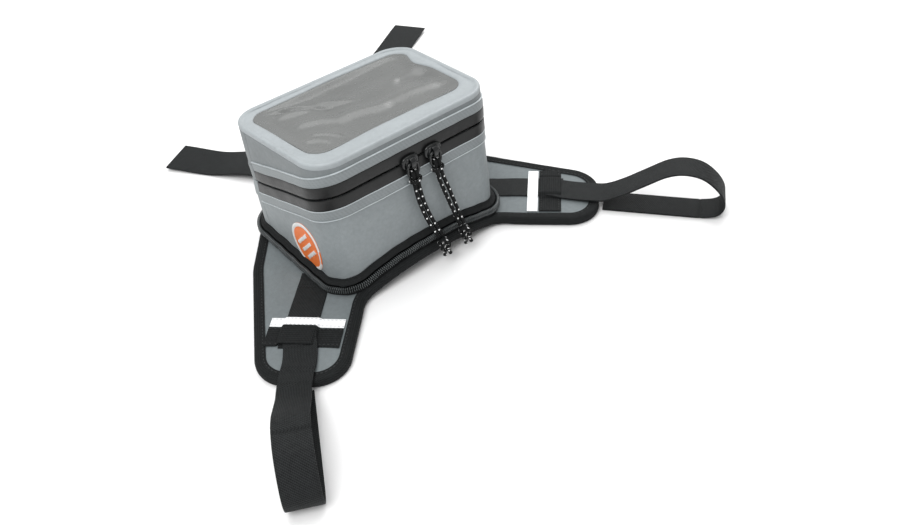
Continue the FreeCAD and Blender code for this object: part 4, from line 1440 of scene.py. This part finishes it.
class BAG_OT_zip_bands(bpy.types.Operator):
    """Main zip: two film-covered tapes, two seam tapes and the coil in the groove"""
    bl_idname = "bag.zip_bands"
    bl_label = "Main zip"

    def execute(self, context):
        half, gap, tape = sizes().zip_band / 2, sizes().groove / 2, sizes().tape
        columns = front_columns()
        lower_seam, upper_seam = sizes().lower_weld, sizes().upper_weld
        for name, low, high, thick, cloth, slot_name, node, body in (
                ("zip_tape_lower_band", zip_level(-half), zip_level(-gap), tape, zip_film(), "zip_tape",
                 "lower_zip_tape", "pod"),
                ("zip_tape_upper_band", zip_level(gap), zip_level(half), tape, zip_film(), "zip_tape",
                 "upper_zip_tape", "lid"),
                ("seam_tape_lower_band", zip_level(-half - lower_seam), zip_level(-half + 0.0002), tape * 0.9,
                 seam_cloth(), "frame_fabric", "lower_weld_tape", "pod"),
                ("seam_tape_upper_band", zip_level(half - 0.0002), zip_level(half + upper_seam), tape * 0.9,
                 seam_cloth(), "frame_fabric", "upper_weld_tape", "lid")):
            band = pod_band(name, columns, taped(low, high, 0.0, thick), False, cloth)
            attach(band, slot_name, body, node)
        # Thin ridges along the seam tapes' edges in the frame colour made 1.45 times lighter: painted
        # highlight on the tape edges.
        pale = coated("Weld bead", shift(colours().frame, 1.45), 0.35, grain=600, blotch=60, spread=0.2)
        for name, level, body in (("painted_highlight_foot", -half - lower_seam, "pod"),
                                  ("painted_highlight_low", -half, "pod"),
                                  ("painted_highlight_high", half + upper_seam, "lid")):
            bead = pod_band(name, columns, taped(zip_level(level - 0.0003), zip_level(level + 0.0003), 0.0,
                                                 tape + 0.0003), False, pale)
            attach(bead, "frame_fabric", body)
        for name, rise, body in (("main_coil_lower", -0.0016, "pod"), ("main_coil_upper", 0.0016, "lid")):
            line = [pod_point(column, zip_level(rise), -0.0006) for column in columns]
            coil = beads(name, [line], 0.0015, 0.0016, 0.0016, 0.0010, coil_plastic_painted_glint(), wander=0.0)
            attach(coil, "coil", body)
        return {"FINISHED"}


class BAG_OT_lid(bpy.types.Operator):
    """Lid wall, its half of the fold, the welded frame and its raised bead"""
    bl_idname = "bag.lid"
    bl_label = "Lid"

    def execute(self, context):
        half = sizes().zip_band / 2
        under = top_level(-0.0028)
        # The lid walls and the upper fold tape wear the lid laminate, darkened as painted shade.
        side = pod_band("lid_skin", front_columns(), walled(zip_level(half - 0.006), under, sizes().wall, 8),
                        False, lid_cloth_painted_shade())
        back = pod_band("lid_back_skin", back_columns(), walled(zip_level(0.0003), under, sizes().wall, 10),
                        False, lid_cloth_painted_shade())
        fold = pod_band("fold_tape_upper", back_columns(),
                        taped(zip_level(0.0003), zip_level(0.016), 0.0, sizes().tape), False, lid_cloth_painted_shade())
        for obj, node in ((side, "lid_wall"), (back, "lid_wall"), (fold, "hinge_tape_upper")):
            attach(obj, "pod_wall", "lid", node)
        profile = [(0, 0.0002, -0.0029), (0, 0.0, -0.0012), (0, 0.0, 0.0002), (0, 0.0004, 0.0010),
                   (0, 0.0012, 0.0014), (0, 0.0024, 0.0014), (0, 0.0032, 0.0010), (0, 0.0040, 0.0005)]
        profile += [(f, 0, rise) for f,
                    rise in ((0.42, 0.0002), (0.60, 0.0003), (0.78, 0.0001), (0.90, -0.0002),
                                                 (0.97, -0.0008), (1.0, -0.0014), (1.0, -0.0029))]
        rows = []
        for column in ALL_ROUND:
            row = []
            for share, inset, rise in profile:
                p = lid_point(column, share, inset, rise)
                soft = 0.0007 * noise.noise(Vector((p.x * 28, p.y * 28, 6.0))) * smooth_step(share / 0.4)
                row.append(p + Vector((0, 0, soft if rise > -0.0028 else 0)))
            rows.append(row)
        top = sweep(rows, True, frame_cloth(), "lid_top_frame", uvs=True, smooth=50)
        attach(top, "frame_fabric", "lid", "lid_frame")
        return {"FINISHED"}


FOLDS = (
    (-0.056, 0.047, -0.014, 0.022, 0.0020, 0.0022), (-0.052, 0.043, -0.020, 0.016, 0.0022, -0.0018),
    (-0.060, 0.036, 0.004, 0.012, 0.0046, 0.0022), (-0.054, 0.014, -0.022, -0.008, 0.0052, 0.0020),
    (-0.026, -0.004, 0.012, -0.016, 0.0074, 0.0026), (0.004, -0.012, 0.070, -0.020, 0.0070, 0.0018),
    (-0.062, -0.012, -0.046, -0.030, 0.0026, 0.0016), (-0.054, -0.006, -0.034, -0.034, 0.0024, 0.0014),
    (-0.040, 0.036, 0.044, 0.032, 0.0120, -0.0024), (0.040, 0.010, 0.068, -0.002, 0.0080, -0.0020),
)


def film_height(x, y, share):
    """Dish, listed folds and drag lines of the window film."""
    rise = -sizes().film_dish * smooth_step((1 - share) / 0.16)
    total = 0.0
    for x0, y0, x1, y1, width, height in FOLDS:
        run = Vector((x1 - x0, y1 - y0))
        p = Vector((x - x0, y - y0))
        t = p.dot(run) / run.length_squared
        bow = 0.004 * math.sin(math.pi * max(0.0, min(1.0, t)))
        away = (p.x * run.y - p.y * run.x) / run.length + bow
        total += (height * math.exp(-(away / width) ** 2) * smooth_step(t / 0.3 + 0.3)
                  * smooth_step((1.2 - t) / 0.5))
    drag = 0.0008 * noise.noise(Vector((x * 18 + y * 10, y * 30 - x * 7, 5.0)))
    fine = 0.00016 * noise.noise(Vector((x * 70 + y * 40, y * 90, 1.0)))
    free = smooth_step((1 - share) / 0.08)
    return rise + free * (total + drag + fine)


class BAG_OT_window(bpy.types.Operator):
    """Clear window film in the lid and the pocket panel under it"""
    bl_idname = "bag.window"
    bl_label = "Window"

    def execute(self, context):
        shares = [1.0, 0.985, 0.965, 0.94] + [0.91 - 0.026 * k for k in range(35)]
        mid_x, mid_y, sunk = 0.003, 0.006, 0.0010

        def layer(rise):
            rows = []
            for share in shares:
                ring = []
                for column in ALL_ROUND:
                    edge = window_plan(column, 0.117)
                    x, y = mid_x + (edge.x - mid_x) * share, mid_y + (edge.y - mid_y) * share
                    ring.append(Vector((x, y,
                                        POD_TOP + TOP_SLOPE * y - sunk + rise + film_height(x, y, share))))
                rows.append(ring)
            middle = POD_TOP + TOP_SLOPE * mid_y - sunk + rise + film_height(mid_x, mid_y, 0)
            return rows, Vector((mid_x, mid_y, middle))
        n = len(ALL_ROUND)
        verts, faces = [], []
        for rise in (0.0, -0.0005):
            rows, middle = layer(rise)
            start = len(verts)
            verts += [p for row in rows for p in row] + [middle]
            faces += nest(start, len(rows), n)
        faces += strip(0, len(verts) // 2, n)
        film = piece("lid_film", verts, faces, [window_film()], None, 70)
        attach(film, "film", "lid", "window_film")

        verts, faces = [], []
        shares = (1.0, 0.9, 0.7, 0.5, 0.3, 0.1)
        for rise in (-0.0058, -0.0066):
            start = len(verts)
            for share in shares:
                for column in ALL_ROUND:
                    edge = pod_plan(column, 0.115, -sizes().wall - 0.0002)
                    x, y = edge.x * share, edge.y * share
                    sag = 0.0010 * noise.noise(Vector((x * 24, y * 24, 7.0))) - 0.0012 * (1 - share)
                    verts.append(Vector((x, y,
                                         POD_TOP + TOP_SLOPE * y + rise + (sag if share < 0.95 else 0))))
            verts.append(Vector((0, 0, POD_TOP + rise - 0.0012)))
            faces += nest(start, len(shares), n)
        faces += strip(0, len(verts) // 2, n)
        pocket = piece("map_pocket", verts, faces, [lining_cloth()])
        attach(pocket, "liner", "lid", "map_pocket_panel")
        return {"FINISHED"}


class BAG_OT_base_zip(bpy.types.Operator):
    """Zip round the pod's foot: tapes, coil turns, slider and pull"""
    bl_idname = "bag.base_zip"
    bl_label = "Base zip"

    def execute(self, context):
        def foot(profile):
            return [(foot_level(z - POD_Z), out) for out, z in profile]
        upper = foot([(0.0002, 0.0198), (0.0009, 0.0197), (0.0012, 0.0186), (0.0019, 0.0175),
                      (0.0028, 0.0167),
                      (0.0036, 0.0161), (0.0040, 0.0154), (0.0035, 0.0150), (0.0029, 0.0154),
                      (0.0021, 0.0158),
                      (0.0009, 0.0160), (-0.0004, 0.0165)])
        lower = foot([(-0.0045, 0.0069), (-0.0045, 0.0080), (0.0022, 0.0082), (0.0036, 0.0092),
                      (0.0040, 0.0112),
                      (0.0043, 0.0121), (0.0050, 0.0119), (0.0052, 0.0098), (0.0062, 0.0084),
                      (0.0060, 0.0075),
                      (0.0040, 0.0070)])
        for name, profile, node, body in (("base_tape_upper", upper, "base_zip_upper_tape", "pod"),
                                          ("base_tape_lower", lower, "base_zip_lower_tape", "harness")):
            band = pod_band(name, ALL_ROUND, profile, True, base_tape(), smooth=60)
            attach(band, "zip_tape", body, node)
        for name, rise, node, body in (("base_coil_upper", -0.0021, "base_zip_upper_coil", "pod"),
                                       ("base_coil_lower", -0.0049, "base_zip_lower_coil", "harness")):
            line = [pod_point(column, foot_level(rise), 0.0062) for column in ALL_ROUND]
            coil = beads(name, [line], sizes().tooth_pitch, 0.0034, 0.0031, 0.0008, coil_plastic_painted_glint(), 0.0, True)
            attach(coil, "coil", body, node)
        low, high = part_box("base_slider")
        body = block("base_zip_slider", low, high, enamel(), 0.0006)
        attach(body, "slider", "base_slider", "base_slider")
        low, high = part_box("base_pull")
        tab = block("base_zip_tab", low, high, enamel(), 0.0006)
        attach(tab, "slider", "base_pull", "base_pull")
        return {"FINISHED"}


def base_tape():
    """Woven black tape of the base zip."""
    return woven("Base tape", colours().black, 0.7, 900, 900, slant=0.5, spread=0.5, depth=0.0003)


def rounded_plate(name, near, half_wide, half_high, thick):
    """Oval cast plate whose face looks along -Y."""
    rows = []
    for out, back in ((0.55, 0.0), (0.80, 0.0), (0.92, 0.12), (0.98, 0.34), (1.0, 0.6), (0.98, 0.9),
                      (0.95, 1.0)):
        row = []
        for k in range(40):
            a = -2 * math.pi * k / 40
            c, d = math.cos(a), math.sin(a)
            swell = (abs(c) ** 2.8 + abs(d) ** 2.8) ** (-1 / 2.8)
            row.append(near + Vector((half_wide * out * swell * c, thick * back,
                                      half_high * out * swell * d)))
        rows.append(row)
    return sweep(rows, False, enamel(), name, smooth=60)


class BAG_OT_sliders(bpy.types.Operator):
    """Two sliders of the main zip, each with a wire loop"""
    bl_idname = "bag.sliders"
    bl_label = "Sliders"

    def execute(self, context):
        for side in SIDES:
            low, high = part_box(side + "_slider")
            x, z = (low.x + high.x) / 2, 0.0972
            face = low.y + 0.0046
            plate = rounded_plate(side + "_plate", Vector((x, face, z)), (high.x - low.x) / 2, 0.0056, 0.0024)
            nose = rounded_plate(side + "_nose", Vector((x, face - 0.0009, z)), 0.0050, 0.0047, 0.0014)
            post = block(side + "_post", (x - 0.0008, face + 0.0020, z - 0.0007),
                         (x + 0.0008, high.y, z + 0.0007),
                         enamel(), 0.0002)
            inner = block(side + "_inner", (low.x, high.y - 0.0012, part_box(side + "_slider")[0].z + 0.0002),
                          (high.x, high.y, z + 0.0007), enamel(), 0.0003)
            arc = []
            for k in range(17):
                a = math.pi * k / 16
                arc.append(Vector((x, face - 0.0036 * math.sin(a) ** 0.7, z - 0.0040 * math.cos(a))))
            hoop = ribbon(side + "_hoop", arc, [Vector((1, 0, 0))] * 17, 0.0042, 0.0011, enamel())
            body = joined(side + "_zip_slider", [plate, nose, post, inner, hoop])
            attach(body, "slider", side + "_slider", side + "_slider")

            low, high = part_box(side + "_pull")
            y = (low.y + high.y) / 2
            wire = 0.0011
            w, top, foot = (high.x - low.x) / 2 - wire, high.z - wire, low.z + wire
            path = []
            for cx, cz, turn in ((w, top, 0), (-w, top, 90), (-w, foot, 180), (w, foot, 270)):
                r = 0.0034
                ox, oz = (r if cx > 0 else -r), (r if cz == top else -r)
                for k in range(7):
                    a = math.radians(turn + 15 * k)
                    path.append(Vector((x + cx - ox + r * math.cos(a), y, cz - oz + r * math.sin(a))))
            hoop = ring_wire(side + "_wire_loop", path, wire, enamel(), 12)
            attach(hoop, "slider", side + "_pull", side + "_pull")
        return {"FINISHED"}


class BAG_OT_badge(bpy.types.Operator):
    """Plain round rubber patch with three raised bars, on the left end"""
    bl_idname = "bag.badge"
    bl_label = "Badge"

    def execute(self, context):
        low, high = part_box("badge")
        cy, cz, radius = -0.026, 0.036, 0.021

        def face_point(y, z, out):
            arcs = pod_arcs(round(z, 6), 0.0)
            front, back = arcs[3][0], arcs[2][2]
            if y >= front.y:
                x = front.x + (back.x - front.x) * (y - front.y) / (back.y - front.y)
                p, outward = Vector((x, y, z)), Vector((-1, 0, 0))
            else:
                centre = arcs[3][1]
                r = (front - centre).length
                x = centre.x - math.sqrt(max(0.0, r * r - (y - centre.y) ** 2))
                p = Vector((x, y, z))
                outward = Vector((x - centre.x, y - centre.y, 0)).normalized()
            return p + outward * (out + wander(p))

        def height(u, v):
            r = math.hypot(u, v) / radius
            rise = 0.00035
            rise += 0.00045 * smooth_step((r - 0.84) / 0.03) * smooth_step((1.0 - r) / 0.03)
            across = (u + v) / RT2 / radius
            along = (u - v) / RT2 / radius
            for offset in (-0.34, 0.0, 0.34):
                bar = smooth_step((0.085 - abs(across - offset)) / 0.03)
                rise += 0.00045 * bar * smooth_step((0.52 - abs(along)) / 0.04)
            return rise
        rings, around = 26, 96
        verts, faces, picks = [], [], []
        for out in (None, 0.0):
            start = len(verts)
            verts.append(face_point(cy, cz, height(0, 0) if out is None else 0.0))
            for i in range(1, rings + 1):
                for j in range(around):
                    a = 2 * math.pi * j / around
                    r = radius * i / rings
                    u, v = r * math.cos(a), r * math.sin(a)
                    verts.append(face_point(cy + u, cz + v, height(u, v) if out is None else 0.0))
            faces += [(start, start + 1 + j, start + 1 + (j + 1) % around) for j in range(around)]
            for i in range(rings - 1):
                faces += strip(start + 1 + i * around, start + 1 + (i + 1) * around, around)
        half = len(verts) // 2
        edge = 1 + (rings - 1) * around
        faces += strip(edge, half + edge, around)
        for face in faces:
            u = sum(verts[i].y for i in face) / len(face) - cy
            v = sum(verts[i].z for i in face) / len(face) - cz
            picks.append(1 if height(u, v) > 0.00058 else 0)
        rubber = coated("Badge rubber", colours().badge, 0.45, grain=400, blotch=60, spread=0.08, bump=0.2)
        raised = coated("Badge relief", (0.62, 0.62, 0.61), 0.45, grain=400, blotch=60, spread=0.15, bump=0.2)
        patch = piece("round_patch", verts, faces, [rubber, raised], None, 30, picks)
        attach(patch, "badge", "pod", "badge")
        return {"FINISHED"}


class BAG_OT_carried_over(bpy.types.Operator):
    """Finish for the stiff board, which keeps its own shape"""
    bl_idname = "bag.carried_over"
    bl_label = "Stiff board"

    def execute(self, context):
        board = need(bpy.data.objects.get("pod_board"), "no pod_board")
        material = coated("Stiff board", (0.035, 0.035, 0.036), 0.5, grain=300, blotch=40, spread=0.25)
        if board.material_slots:
            board.material_slots[0].material = material
        else:
            board.data.materials.append(material)
        return {"FINISHED"}


STEPS = (BAG_OT_studio, BAG_OT_cords, BAG_OT_panels, BAG_OT_wing_trim, BAG_OT_strap_loops, BAG_OT_back_straps,
         BAG_OT_pod_wall, BAG_OT_zip_bands, BAG_OT_lid, BAG_OT_window, BAG_OT_base_zip, BAG_OT_sliders,
         BAG_OT_badge, BAG_OT_carried_over)


class BAG_PT_sidebar(bpy.types.Panel):
    """Sizes, colours and steps of the tank bag"""
    bl_idname = "BAG_PT_sidebar"
    bl_label = "Tank bag"
    bl_space_type = "VIEW_3D"
    bl_region_type = "UI"
    bl_category = "Tank bag"

    def draw(self, context):
        layout = self.layout
        for group_of in (context.scene.bag_sizes, context.scene.bag_colours):
            box = layout.box()
            for name in group_of.__annotations__:
                box.prop(group_of, name)
        for step in STEPS:
            layout.operator(step.bl_idname)


CLASSES = (BagSizes, BagColours) + STEPS + (BAG_PT_sidebar,)


def register():
    """Add the classes and the settings."""
    for cls in CLASSES:
        bpy.utils.register_class(cls)
    bpy.types.Scene.bag_sizes = PointerProperty(type=BagSizes)
    bpy.types.Scene.bag_colours = PointerProperty(type=BagColours)


def unregister():
    """Take the classes and the settings away."""
    del bpy.types.Scene.bag_colours
    del bpy.types.Scene.bag_sizes
    for cls in reversed(CLASSES):
        bpy.utils.unregister_class(cls)


def main():
    """Build the whole bag."""
    register()
    for step in STEPS:
        name = step.bl_idname.split(".")[1]
        need(getattr(bpy.ops.bag, name)() == {"FINISHED"}, step.bl_label + " did not finish")


if __name__ == "__main__":
    main()
